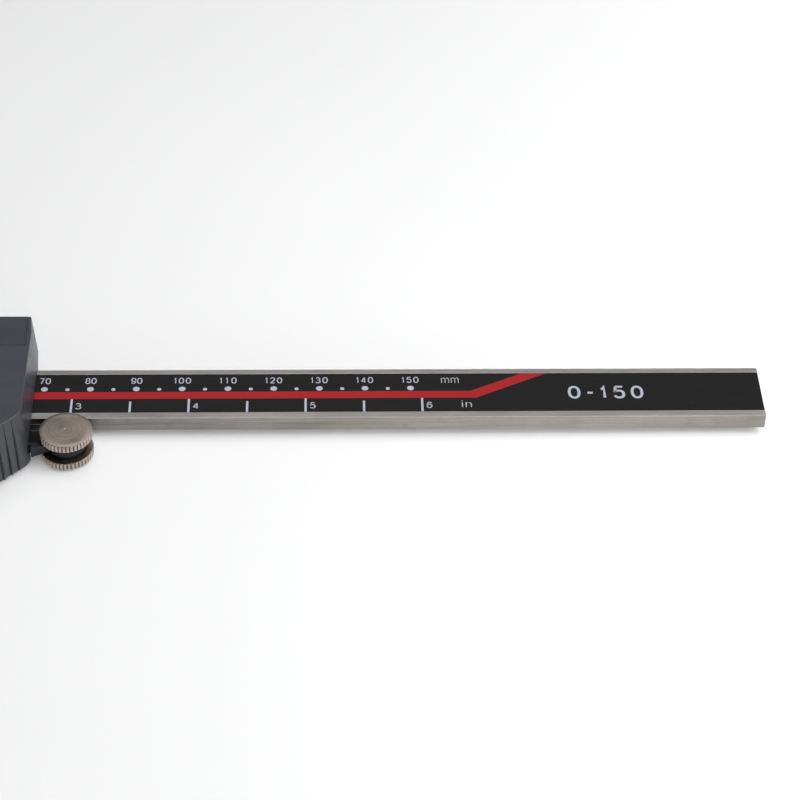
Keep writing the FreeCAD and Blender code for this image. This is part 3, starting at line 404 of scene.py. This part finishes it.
def film(name, colour):
    """The scale's black laminated film: satin, with faint lengthwise rub marks."""
    m = Mat(name)
    rub = m.noise((70, 4200, 4200), detail=5.0, roughness=0.6)
    fine = m.noise(6000, detail=3.0, roughness=0.6)
    blotch = m.noise((90, 200, 200), detail=4.0, roughness=0.6)
    dust = m.noise(1700, detail=2.0, roughness=0.5, offset=(3, 9, 2))
    base = m.mix(m.remap(rub, span=(0.5, 0.75), to=(0.0, 0.30)), colour,
                 scaled(colour, 1.8, lift=0.004))
    base = m.mix(m.remap(dust, span=(0.76, 0.81), to=(0.0, 0.5)), base, (0.10, 0.10, 0.10))
    roughness = m.add(m.remap(rub, to=(0.39, 0.52)), m.remap(blotch, to=(-0.03, 0.05)))
    normal = m.bump(fine, depth=0.004, strength=0.6, bevel=0.03)
    m.principled(base, roughness, normal, specular=0.10)
    return m.material


def clear_window(name):
    """Clear moulded window: transparent with a Fresnel reflection and faint scuffs."""
    m = Mat(name)
    scuff = m.noise((500, 1400, 900), detail=4.0, roughness=0.6)
    clear = m.node("BsdfTransparent", {"Color": (0.93, 0.95, 0.94)})
    gloss = m.node("BsdfGlossy", {
        "Roughness": m.remap(scuff, span=(0.4, 0.75), to=(0.05, 0.14)),
        "Color": (0.95, 0.96, 0.97),
        "Normal": m.bevel(0.12)})
    fresnel = m.node("Fresnel", {"IOR": 1.49}).outputs[0]
    shadow_ray = m.node("LightPath").outputs["Is Shadow Ray"]
    backfacing = m.node("NewGeometry").outputs["Backfacing"]
    seen = m.product(m.invert(shadow_ray), m.invert(backfacing))
    mirror = m.product(m.math("ADD", fresnel, 0.01, clamp=True), seen, m.calm())
    m.surface(m.mix_shaders(mirror, clear, gloss))
    return m.material


# =====================================================================
# electronics
# =====================================================================
def board(name):
    """Green solder mask with a faint pattern of copper runs and pads."""
    m = Mat(name)
    runs = m.node("TexBrick", {
        "Vector": m.mapping(260), "Scale": 1.0, "Mortar Size": 0.06,
        "Color1": (0, 0, 0), "Color2": (0.2, 0.2, 0.2), "Mortar": (1, 1, 1)}).outputs["Color"]
    cells = m.node("TexVoronoi", {"Vector": m.mapping(1), "Scale": 420}, feature="F1")
    pads = m.remap(cells.outputs["Distance"], span=(0.18, 0.22), to=(1.0, 0.0))
    mottle = m.noise(900, detail=3.0, roughness=0.5)
    base = m.mix(m.remap(mottle), (0.010, 0.075, 0.028), (0.014, 0.11, 0.040))
    base = m.mix(m.product(runs, 0.35), base, (0.05, 0.20, 0.08))
    base = m.mix(m.product(pads, 0.7), base, (0.45, 0.30, 0.10))
    m.principled(base, m.remap(mottle, to=(0.28, 0.42)),
                 m.bump(runs, depth=0.02, strength=0.5, bevel=0.08))
    return m.material


def grating(name):
    """Copper grating under a thin varnish, pitch along X."""
    m = Mat(name)
    mottle = m.noise(1500, detail=3.0, roughness=0.5)
    bars = m.remap(m.stripes(196), span=(0.45, 0.55))
    m.principled(m.mix(bars, (0.10, 0.11, 0.05), (0.55, 0.28, 0.10)),
                 m.remap(mottle, to=(0.3, 0.42)), m.bump(mottle, depth=0.01, strength=0.5))
    return m.material


def zebra(name):
    """Striped conductive rubber."""
    m = Mat(name)
    mottle = m.noise(2500, detail=3.0, roughness=0.5)
    bars = m.remap(m.stripes(1400), span=(0.4, 0.6))
    m.principled(m.mix(bars, (0.62, 0.42, 0.46), (0.03, 0.03, 0.03)),
                 m.remap(mottle, to=(0.5, 0.65)),
                 m.bump(mottle, depth=0.01, strength=0.6, bevel=0.08))
    return m.material


def lcd(name):
    """Grey-green reflective liquid-crystal panel with a soft grain."""
    m = Mat(name)
    fine = m.noise(12000, detail=2.0, roughness=0.5)
    broad = m.noise(60, detail=2.0, roughness=0.5)
    base = m.mix(m.remap(fine, span=(0.35, 0.65)), (0.40, 0.44, 0.365), (0.46, 0.505, 0.42))
    base = m.mix(m.remap(broad, span=(0.4, 0.7), to=(0.0, 0.25)), base, (0.37, 0.41, 0.345))
    m.principled(base, m.remap(fine, to=(0.20, 0.30)),
                 m.bump(fine, depth=0.003, strength=0.4, bevel=0.05))
    return m.material


# =====================================================================
# materials for the frame's nodes
# =====================================================================
# axes of the turned parts, in metres
ROLLER_CENTRE = (0.07583, -0.0138, 0)
CAN_CENTRE = (0.0565, 0.007, 0)
LOCK_CENTRE = (0.037, 0, 0.00335)
# the finish that the shell and the battery door share, with a painted edge highlight and painted
# shade in seams
CASE = dict(rough=(0.32, 0.44), spec=0.56, edge_highlight_gain=0.5,
            gap=dict(reach=0.4, span=(0.45, 0.95), dark=0.30))

# each material is called after its slot; colours are light then dark for metals,
# and base then light for plastics
MATERIALS = {}
for maker, slot, *colours, options in (
    # the beam: painted shade on its flanks and a painted glint on its top edges
    (ground_steel, "beam_steel", (0.74, 0.70, 0.66), (0.42, 0.39, 0.36),
     dict(rough=(0.25, 0.42), side=0.55)),
    # the frame: painted shade on its flanks and in tight gaps, and a painted glint on its top
    # edges
    (ground_steel, "frame_steel", (0.50, 0.47, 0.44), (0.30, 0.28, 0.26),
     dict(rough=(0.27, 0.44), grain=0.9, side=0.6,
          gap=dict(reach=6.0, span=(0.15, 0.60), dark=0.10))),
    (ground_steel, "plate_steel", (0.52, 0.50, 0.48), (0.32, 0.31, 0.30),
     dict(rough=(0.28, 0.42), along="Y")),
    (ground_steel, "rod_steel", (0.52, 0.49, 0.46), (0.33, 0.31, 0.29),
     dict(rough=(0.24, 0.38))),
    (ground_steel, "screw_steel", (0.42, 0.42, 0.43), (0.20, 0.20, 0.21),
     dict(rough=(0.25, 0.42), grain=0.5, aniso=0.0)),
    (turned_metal, "axle_steel", (0.50, 0.47, 0.43), (0.30, 0.28, 0.26),
     dict(centre=ROLLER_CENTRE)),
    (grating, "grating", {}),
    (film, "scale_film", (0.0104, 0.0102, 0.0106), {}),
    (board, "circuit_board", {}),
    (moulded, "chip_resin", (0.012, 0.012, 0.013), dict(rough=(0.22, 0.34), grain=0.2)),
    (turned_metal, "plated_can", (0.68, 0.66, 0.62), (0.50, 0.49, 0.46),
     dict(centre=CAN_CENTRE, rough=(0.16, 0.30), pitch=0.2)),
    (moulded, "ceramic", (0.34, 0.24, 0.15), dict(rough=(0.4, 0.55), grain=0.12)),
    (moulded, "tray_plastic", (0.62, 0.62, 0.60), (0.68, 0.68, 0.66), dict(rough=(0.45, 0.6))),
    (zebra, "zebra_rubber", {}),
    (lcd, "lcd_glass", {}),
    (clear_window, "window_clear", {}),
    (moulded, "holder_plastic", (0.018, 0.018, 0.019), dict(rough=(0.4, 0.55))),
    (ground_steel, "contact_spring", (0.72, 0.55, 0.28), (0.50, 0.38, 0.20),
     dict(rough=(0.2, 0.36), grain=0.6, aniso=0.0)),
    (moulded, "shell_plastic", (0.031, 0.0345, 0.0415), (0.036, 0.0395, 0.047), CASE),
    (moulded, "door_plastic", (0.027, 0.0305, 0.0375), (0.031, 0.0345, 0.042), CASE),
    # the bracket: painted shade that turns its recesses almost black
    (moulded, "bracket_plastic", (0.030, 0.0325, 0.038), (0.034, 0.0370, 0.043),
     dict(rough=(0.40, 0.54), spec=0.09, gap=dict(reach=7.0, span=(0.22, 0.85), dark=0.02))),
    (moulded, "button_plastic", (0.19, 0.20, 0.215), (0.22, 0.23, 0.25),
     dict(rough=(0.38, 0.5), grain=0.12)),
    (moulded, "zero_plastic", (0.42, 0.030, 0.028), (0.47, 0.036, 0.033),
     dict(rough=(0.36, 0.48), grain=0.12)),
    # the roller: painted shade in the knurl's gaps, painted light on its upright faces and a
    # painted highlight on its edges
    (turned_metal, "roller_metal", (0.44, 0.378, 0.328), (0.155, 0.132, 0.113),
     dict(centre=ROLLER_CENTRE, pitch=0.14, rough=(0.26, 0.44), groove_shade=0.97, flank=2.0,
          edge_highlight_tint=1.9)),
    (turned_metal, "lock_metal", (0.50, 0.46, 0.42), (0.34, 0.31, 0.28),
     dict(centre=LOCK_CENTRE, axis="Y")),
    (moulded, "washer_nylon", (0.62, 0.62, 0.58), (0.66, 0.66, 0.62), dict(rough=(0.4, 0.55))),
    (ground_steel, "brass_gib", (0.70, 0.50, 0.22), (0.48, 0.34, 0.16),
     dict(rough=(0.26, 0.4), grain=0.7)),
    (moulded, "wiper_film", (0.20, 0.21, 0.22), dict(rough=(0.3, 0.45), grain=0.2)),
):
    MATERIALS[slot] = maker(slot, *colours, **options)

slot_of = {part["node"]: part["material_slot"] for part in frame["record"]["subparts"]}
for name, part in frame["nodes"].items():
    part.data.materials.clear()
    part.data.materials.append(MATERIALS[slot_of[name]])

PALE = printed("ink_pale", (0.44, 0.465, 0.53))
RED = printed("ink_red", (0.36, 0.016, 0.020), rough=0.45, spec=0.12)
SEGMENT = printed("lcd_segment", (0.012, 0.014, 0.013), rough=0.30)
MASK = printed("window_mask_ink", (0.010, 0.010, 0.011), rough=0.35)
GREY = printed("ink_grey", (0.55, 0.57, 0.60))


# =====================================================================
# mesh helpers: all sizes in mm, and z_span is (bottom, top)
# =====================================================================
def box_mm(name):
    """The low and high corners of a frame node."""
    return [tuple(value / MM for value in corner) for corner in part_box(name)]


def piece(name, solid, material, body):
    """Turns a bmesh into a flat-shaded object that rides on a body."""
    mesh = bpy.data.meshes.new(name)
    bmesh.ops.recalc_face_normals(solid, faces=solid.faces)
    solid.to_mesh(mesh)
    solid.free()
    mesh.materials.append(material)
    for face in mesh.polygons:
        face.use_smooth = False
    ob = bpy.data.objects.new(name, mesh)
    scene.collection.objects.link(ob)
    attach(ob, body)


def add_row(solid, points):
    return [solid.verts.new((x * MM, y * MM, z * MM)) for x, y, z in points]


def join_rows(solid, first, second):
    """A band of quads between two closed rows of vertices."""
    n = len(first)
    for i in range(n):
        j = (i + 1) % n
        solid.faces.new((first[i], first[j], second[j], second[i]))


def loft(solid, rows, closed):
    """Joins rows in order, then closes the loop or caps both ends."""
    for first, second in zip(rows, rows[1:]):
        join_rows(solid, first, second)
    if closed:
        join_rows(solid, rows[-1], rows[0])
    else:
        solid.faces.new(rows[0][::-1])
        solid.faces.new(rows[-1])


def prism(solid, outline, z_span):
    low, high = [add_row(solid, [(x, y, z) for x, y in outline]) for z in z_span]
    solid.faces.new(low[::-1])
    solid.faces.new(high)
    join_rows(solid, low, high)


def rounded(x0, x1, y0, y1, radius, steps=6):
    """A rectangle's outline with rounded corners."""
    points = []
    for cx, cy, start in ((x1 - radius, y0 + radius, -90), (x1 - radius, y1 - radius, 0),
                          (x0 + radius, y1 - radius, 90), (x0 + radius, y0 + radius, 180)):
        for i in range(steps + 1):
            angle = math.radians(start + 90 * i / steps)
            points.append((cx + radius * math.cos(angle), cy + radius * math.sin(angle)))
    return points


def disc(cx, cy, radius, count=32):
    turns = [2 * math.pi * i / count for i in range(count)]
    return [(cx + radius * math.cos(a), cy + radius * math.sin(a)) for a in turns]


def ring_arc(solid, cx, cy, inner, outer, z_span, start, end, steps):
    """Part of a flat ring, between two angles in degrees."""
    low, high = z_span
    rows = []
    for i in range(steps + 1):
        angle = math.radians(start + (end - start) * i / steps)
        cos, sin = math.cos(angle), math.sin(angle)
        rows.append(add_row(solid, [
            (cx + radius * cos, cy + radius * sin, z)
            for radius, z in ((inner, low), (outer, low), (outer, high), (inner, high))]))
    loft(solid, rows, closed=False)


def add_text(solid, body, x_mid, y0, y1, width, z_span, bold):
    """Adds a solid text, fitted to a height and a width."""
    curve = bpy.data.curves.new("text", "FONT")
    curve.body = body
    curve.size = 1.0
    curve.offset = bold
    curve.resolution_u = 4
    curve.extrude = 0.01
    ob = bpy.data.objects.new("text", curve)
    scene.collection.objects.link(ob)
    depsgraph = bpy.context.evaluated_depsgraph_get()
    mesh = bpy.data.meshes.new_from_object(ob.evaluated_get(depsgraph))
    xs = [v.co.x for v in mesh.vertices]
    ys = [v.co.y for v in mesh.vertices]
    left, right, bottom, top = min(xs), max(xs), min(ys), max(ys)
    x_scale = width / (right - left)
    y_scale = (y1 - y0) / (top - bottom)
    for v in mesh.vertices:
        x, y, z = v.co
        v.co = ((x_mid + (x - (left + right) / 2) * x_scale) * MM,
                (y0 + (y - bottom) * y_scale) * MM,
                z_span[0 if z < 0 else 1] * MM)
    count = len(solid.verts)
    solid.from_mesh(mesh)
    bmesh.ops.remove_doubles(solid, verts=list(solid.verts)[count:], dist=1e-8)
    bpy.data.objects.remove(ob)
    bpy.data.curves.remove(curve)
    bpy.data.meshes.remove(mesh)


def stroke(solid, points, pen, z_span, closed):
    """A pen stroke along a polyline, mitred at its corners."""
    low, high = z_span
    n = len(points)
    rows = []
    for i, (x, y) in enumerate(points):
        before = points[i - 1] if closed or i > 0 else points[i]
        after = points[(i + 1) % n] if closed or i < n - 1 else points[i]
        arrive = Vector((x - before[0], y - before[1]))
        leave = Vector((after[0] - x, after[1] - y))
        arrive = arrive.normalized() if arrive.length > 1e-9 else leave.normalized()
        leave = leave.normalized() if leave.length > 1e-9 else arrive
        heading = (arrive + leave).normalized()
        mitre = min(1.8, 1.0 / max(0.3, heading.dot(arrive)))
        dx, dy = -heading.y * mitre * pen / 2, heading.x * mitre * pen / 2
        rows.append(add_row(solid, [(x + dx, y + dy, low), (x - dx, y - dy, low),
                                    (x - dx, y - dy, high), (x + dx, y + dy, high)]))
    loft(solid, rows, closed)


# =====================================================================
# pen-drawn digits
# =====================================================================
def arc(cx, cy, rx, ry, start, end, steps=18):
    """Points along a slightly squared oval, in a digit's unit box."""
    squareness = 0.90
    points = []
    for i in range(steps + 1):
        angle = math.radians(start + (end - start) * i / steps)
        cos, sin = math.cos(angle), math.sin(angle)
        points.append((cx + rx * math.copysign(abs(cos) ** squareness, cos),
                       cy + ry * math.copysign(abs(sin) ** squareness, sin)))
    return points


def oval(cx, cy, rx, ry):
    return arc(cx, cy, rx, ry, 0, 360, steps=36)[:-1]


# strokes of each character as (closed, points), in a unit box with y up
SHAPES = {
    "0": [(True, oval(0.5, 0.5, 0.5, 0.5))],
    "1": [(False, [(0.05, 0.76), (0.36, 0.80), (0.66, 1.0), (0.66, 0.0)])],
    "2": [(False, arc(0.5, 0.72, 0.47, 0.28, 168, -28) + [(0.04, 0.02)]),
          (False, [(0.0, 0.0), (1.0, 0.0)])],
    "3": [(False, arc(0.47, 0.76, 0.42, 0.24, 158, -90)),
          (False, arc(0.47, 0.265, 0.50, 0.265, 90, -160)),
          (False, [(0.30, 0.525), (0.52, 0.525)])],
    "4": [(False, [(0.74, 0.0), (0.74, 1.0)]), (False, [(0.72, 1.0), (0.03, 0.27)]),
          (False, [(0.0, 0.26), (1.0, 0.26)])],
    "5": [(False, [(0.90, 1.0), (0.16, 1.0)]), (False, [(0.18, 1.0), (0.08, 0.50)]),
          (False, arc(0.48, 0.32, 0.48, 0.32, 142, -158))],
    "6": [(True, oval(0.5, 0.31, 0.47, 0.31)), (False, arc(0.54, 0.5, 0.50, 0.5, 38, 196))],
    "7": [(False, [(0.02, 1.0), (0.98, 1.0)]),
          (False, [(0.96, 1.0), (0.62, 0.52), (0.36, 0.0)])],
    "8": [(True, oval(0.5, 0.76, 0.39, 0.24)), (True, oval(0.5, 0.265, 0.48, 0.265))],
    "9": [(True, oval(0.5, 0.69, 0.47, 0.31)), (False, arc(0.46, 0.5, 0.50, 0.5, 218, 376))],
    "-": [(False, [(0.0, 0.45), (1.0, 0.45)])],
}
# widths of the narrow characters, as shares of a digit's width
NARROW = {"1": 0.62, "-": 0.66}


def number(solid, text, x_mid, y0, y1, total, digit, pen):
    """Draws a number on the film; total is its whole width and digit one digit's width."""
    widths = [digit * NARROW.get(c, 1.0) for c in text]
    gap = (total - sum(widths)) / (len(text) - 1) if len(text) > 1 else 0.0
    x = x_mid - (sum(widths) + gap * (len(text) - 1)) / 2
    for c, width in zip(text, widths):
        for closed, points in SHAPES[c]:
            line = [(x + pen / 2 + px * (width - pen), y0 + pen / 2 + py * (y1 - y0 - pen))
                    for px, py in points]
            stroke(solid, line, pen, FILM_INK, closed)
        x += width + gap


# =====================================================================
# the printed scale
# =====================================================================
INCH = 25.4
film_top = box_mm("scale_overlay")[1][2]
FILM_INK = (film_top + 0.001, film_top + 0.013)
DOT_INK = (FILM_INK[1] + 0.001, FILM_INK[1] + 0.008)    # over the red band

# x, y round the band, which ends in a slanting tail on the right
RED_BAND = [(-2.9, -1.66), (164.3, -1.66), (180.0, 6.38), (174.6, 6.38), (163.1, 0.64),
            (-2.9, 0.64)]


def scale_piece(name, solid, ink=PALE):
    piece(name, solid, ink, "beam")


def red_band():
    solid = bmesh.new()
    prism(solid, RED_BAND, FILM_INK)
    scale_piece("red_band", solid, RED)


def millimetre_dots():
    """A large dot every 10 mm and a small one halfway between."""
    solid = bmesh.new()
    for x in range(0, 151, 5):
        dot = disc(x, 1.47, 0.46, count=24) if x % 10 else disc(x, 1.60, 0.745)
        prism(solid, dot, DOT_INK)
    scale_piece("millimetre_dots", solid)


def inch_ticks():
    """A tick every half inch, longer at whole inches."""
    half_width, bottom, whole_top, half_top = 0.245, -6.12, -1.72, -2.55
    solid = bmesh.new()
    for k in range(13):
        x = INCH / 2 * k
        left, right = x - half_width, x + half_width
        top = half_top if k % 2 else whole_top
        prism(solid, [(left, bottom), (right, bottom), (right, top), (left, top)], FILM_INK)
    scale_piece("inch_ticks", solid)


def millimetre_numbers():
    width_of = {1: 1.2, 2: 2.50, 3: 3.80}    # by count of digits
    solid = bmesh.new()
    for x in range(0, 151, 10):
        text = str(x)
        number(solid, text, x - 0.05, 3.36, 5.36, total=width_of[len(text)], digit=1.18,
               pen=0.255)
    scale_piece("millimetre_numbers", solid)


def inch_numbers():
    right_of_tick = 1.56
    solid = bmesh.new()
    for k in range(7):
        number(solid, str(k), INCH * k + right_of_tick, -5.02, -3.00, total=1.33, digit=1.33,
               pen=0.265)
    scale_piece("inch_numbers", solid)


def unit_words():
    solid = bmesh.new()
    add_text(solid, "mm", 158.75, 3.30, 5.05, width=3.85, z_span=FILM_INK, bold=-0.014)
    add_text(solid, "in", 162.1, -4.75, -2.55, width=2.2, z_span=FILM_INK, bold=-0.014)
    scale_piece("unit_words", solid)


def range_numbers():
    solid = bmesh.new()
    number(solid, "0-150", 192.8, -2.1, 2.1, total=16.6, digit=2.75, pen=0.62)
    scale_piece("range_numbers", solid)


red_band()
millimetre_dots()
inch_ticks()
millimetre_numbers()
inch_numbers()
unit_words()
range_numbers()


# =====================================================================
# the display
# =====================================================================
def window_mask():
    """A black frame just under the window's rim."""
    (x0, y0, z), (x1, y1, _) = box_mm("display_window")

    def inset(margin, radius):
        return rounded(x0 + margin, x1 - margin, y0 + margin, y1 - margin, radius)

    outer, inner = inset(0.1, radius=1.1), inset(1.75, radius=0.6)
    low, high = z - 0.045, z - 0.012
    solid = bmesh.new()
    rows = [add_row(solid, [(x, y, level) for x, y in outline])
            for outline, level in ((outer, low), (outer, high), (inner, high), (inner, low))]
    loft(solid, rows, closed=True)
    piece("window_mask", solid, MASK, "slider")


def segment_zero(solid, x, y, width, height, z_span):
    """A leaning seven-segment zero with its lower left corner at x, y."""
    lean, thick, gap = 0.09, 0.92, 0.10
    half = thick / 2
    tip, shoulder = gap + thick * 0.15, gap + thick * 0.55
    middle, top, right = y + height / 2, y + height, x + width

    def segment(points):
        prism(solid, [(px + (py - y) * lean, py) for px, py in points], z_span)

    def level(at):
        segment([(x + tip, at), (x + shoulder, at - half), (right - shoulder, at - half),
                 (right - tip, at), (right - shoulder, at + half), (x + shoulder, at + half)])

    def upright(at, bottom, top):
        low, high = bottom + gap, top - gap
        segment([(at, low), (at + half, low + half), (at + half, high - half),
                 (at, high), (at - half, high - half), (at - half, low + half)])

    level(top)
    level(y)
    for bottom, end in ((middle, top), (y, middle)):
        upright(x, bottom, end)
        upright(right, bottom, end)


def display_digits():
    """The reading 0.00 mm."""
    low = box_mm("lcd_panel")[1][2] + 0.004
    z_span = (low, low + 0.02)
    solid = bmesh.new()
    for x in (21.3, 28.6, 34.6):
        segment_zero(solid, x, -2.6, width=4.2, height=8.4, z_span=z_span)
    point = rounded(26.85, 27.75, -3.1, -2.2, radius=0.2, steps=3)
    prism(solid, point, z_span)
    add_text(solid, "mm", 42.0, -2.9, -1.3, width=2.9, z_span=z_span, bold=0.01)
    piece("display_digits", solid, SEGMENT, "slider")


window_mask()
display_digits()


# =====================================================================
# marks on the buttons, printed on each cap's top
# =====================================================================
def power_mark(solid, x, y, z_span):
    """A ring open at the top, with a bar in the gap."""
    ring_arc(solid, x, y, 0.62, 0.82, z_span, start=125, end=415, steps=36)
    prism(solid, rounded(x - 0.1, x + 0.1, y + 0.15, y + 1.0, radius=0.09, steps=3), z_span)


def unit_mark(solid, x, y, z_span):
    add_text(solid, "mm/in", x, y - 0.75, y + 0.75, width=4.2, z_span=z_span, bold=0.006)


def zero_mark(solid, x, y, z_span):
    add_text(solid, "0", x, y - 1.35, y + 1.35, width=1.75, z_span=z_span, bold=0.02)


for body, draw in (("power", power_mark), ("unit", unit_mark), ("zero", zero_mark)):
    (x0, y0, _), (x1, y1, top) = box_mm(body + "_button")
    solid = bmesh.new()
    draw(solid, (x0 + x1) / 2, (y0 + y1) / 2, (top + 0.001, top + 0.013))
    piece(body + "_mark", solid, GREY, body)


# =====================================================================
# floor and world: metres from here on
# =====================================================================
# the plain backdrop that the camera sees beyond the floor's middle
BACKDROP = {"Color": (0.93, 0.94, 0.96), "Strength": 0.92}


def floor_material():
    """Matt pale grey with painted shade, that turns into the backdrop far from the origin."""
    m = Mat("floor_white")
    blotch = m.noise(9, detail=3.0, roughness=0.5)
    fine = m.noise(900, detail=3.0, roughness=0.6)
    # painted shade: the colour darker towards +X, where the wash light is stronger
    base = m.mix(m.remap(m.split(m.place)[0], span=(0.0, 0.20)),
                 (0.476, 0.476, 0.478), (0.448, 0.448, 0.450))
    base = m.mix(m.remap(blotch, to=(0.0, 0.25)), base, (0.50, 0.50, 0.50))
    # painted shade in tightly enclosed spots under the caliper
    base = m.multiply(base, m.shade(reach=12.0, span=(0.0, 0.09), dark=0.12))
    matt = m.principled(base, 0.75, m.bump(fine, depth=0.02, strength=0.4), specular=0.2)
    distance = m.vector_math("LENGTH", m.place).outputs["Value"]
    camera_ray = m.node("LightPath").outputs["Is Camera Ray"]
    fade = m.product(m.remap(distance, span=(0.50, 0.95)), camera_ray)
    m.surface(m.mix_shaders(fade, matt, m.node("Emission", BACKDROP)))
    # these settings exist only while the Cycles add-on is loaded
    if hasattr(m.material, "cycles"):
        m.material.cycles.emission_sampling = "NONE"
    return m.material


def make_floor():
    half = 3.0
    z = cad_box[0].z - 0.00002
    plane = bmesh.new()
    plane.faces.new([plane.verts.new((x, y, z)) for x, y in (
        (-half, -half), (half, -half), (half, half), (-half, half))])
    mesh = bpy.data.meshes.new("floor")
    plane.to_mesh(mesh)
    plane.free()
    mesh.materials.append(floor_material())
    ob = bpy.data.objects.new("floor", mesh)
    scene.collection.objects.link(ob)
    return ob


def make_world():
    """A cool sky that is brighter towards +X; the camera sees the backdrop instead."""
    world = bpy.data.worlds.new("studio")
    scene.world = world
    g = Graph(world, "OutputWorld")
    direction = g.node("SeparateXYZ", {0: g.coord.outputs["Generated"]})
    strength = g.remap(direction.outputs[0], span=(-0.5, 0.5), to=(0.15, 0.40))
    sky = g.node("Background", {"Color": (0.93, 0.95, 1.0), "Strength": strength})
    camera_ray = g.node("LightPath").outputs["Is Camera Ray"]
    g.surface(g.mix_shaders(camera_ray, sky, g.node("Background", BACKDROP)))


floor = make_floor()
make_world()

# =====================================================================
# lights
# =====================================================================
# name, location, target, size along x and y, watts, colour
LIGHTS = (
    ("overhead", (0.24, 0.10, 0.95), (0.14, 0.0, 0.0), (1.1, 0.8), 7.6, (1.0, 1.0, 1.0)),
    ("right_soft", (1.0, 0.15, 0.75), (0.12, 0.0, 0.0), (0.7, 0.7), 3.6, (1.0, 0.99, 0.97)),
    ("floor_wash", (0.56, -0.10, 0.36), (0.12, 0.0, 0.0), (0.5, 0.4), 6.0, (1.0, 1.0, 1.0)),
    ("low_right", (0.95, -0.85, 0.20), (0.14, 0.0, 0.0), (0.5, 0.16), 5.5, (0.99, 0.99, 1.0)),
    ("front_fill", (0.05, -1.15, 0.40), (0.11, 0.0, 0.0), (0.9, 0.3), 1.6, (0.98, 0.99, 1.0)),
)
lamps = {}
for name, location, target, size, power, colour in LIGHTS:
    light = bpy.data.lights.new(name, "AREA")
    light.shape = "RECTANGLE"
    light.size, light.size_y = size
    light.energy = power
    light.color = colour
    lamp = bpy.data.objects.new(name, light)
    lamp.location = location
    lamp.rotation_mode = "QUATERNION"
    lamp.rotation_quaternion = (Vector(target) - Vector(location)).to_track_quat("-Z", "Y")
    scene.collection.objects.link(lamp)
    lamps[name] = lamp

# the wash lights the floor alone, and only the floor shadows it
floor_only = bpy.data.collections.new("floor_only")
floor_only.objects.link(floor)
linking = lamps["floor_wash"].light_linking
linking.receiver_collection = floor_only
linking.blocker_collection = floor_only

# =====================================================================
# camera
# =====================================================================
# the camera's axes, and its place measured from the beam's top face
CAMERA_RIGHT = Vector((0.99944767, -0.02739928, 0.01880507))
CAMERA_UP = Vector((0.00386251, 0.65781784, 0.75316716))
CAMERA_FORWARD = Vector((0.03300656, 0.75267853, -0.65756034))
CAMERA_X, CAMERA_Y, CAMERA_RISE = 0.1296448, -0.4112370, 0.3573430

lens = bpy.data.cameras.new("camera")
camera = bpy.data.objects.new("camera", lens)
scene.collection.objects.link(camera)
lens.sensor_width = 36.0
lens.lens = 112.04
lens.shift_y = -0.00075
lens.clip_start, lens.clip_end = 0.01, 10.0
turn = Matrix((CAMERA_RIGHT, CAMERA_UP, -CAMERA_FORWARD)).transposed()
beam_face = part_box("main_beam")[1].z
place = Vector((CAMERA_X, CAMERA_Y, CAMERA_RISE + beam_face))
camera.matrix_world = Matrix.Translation(place) @ turn.to_4x4()
scene.camera = camera

scene.view_settings.view_transform = "Standard"
scene.view_settings.look = "None"
scene.view_settings.exposure = 0.0
scene.view_settings.gamma = 1.0
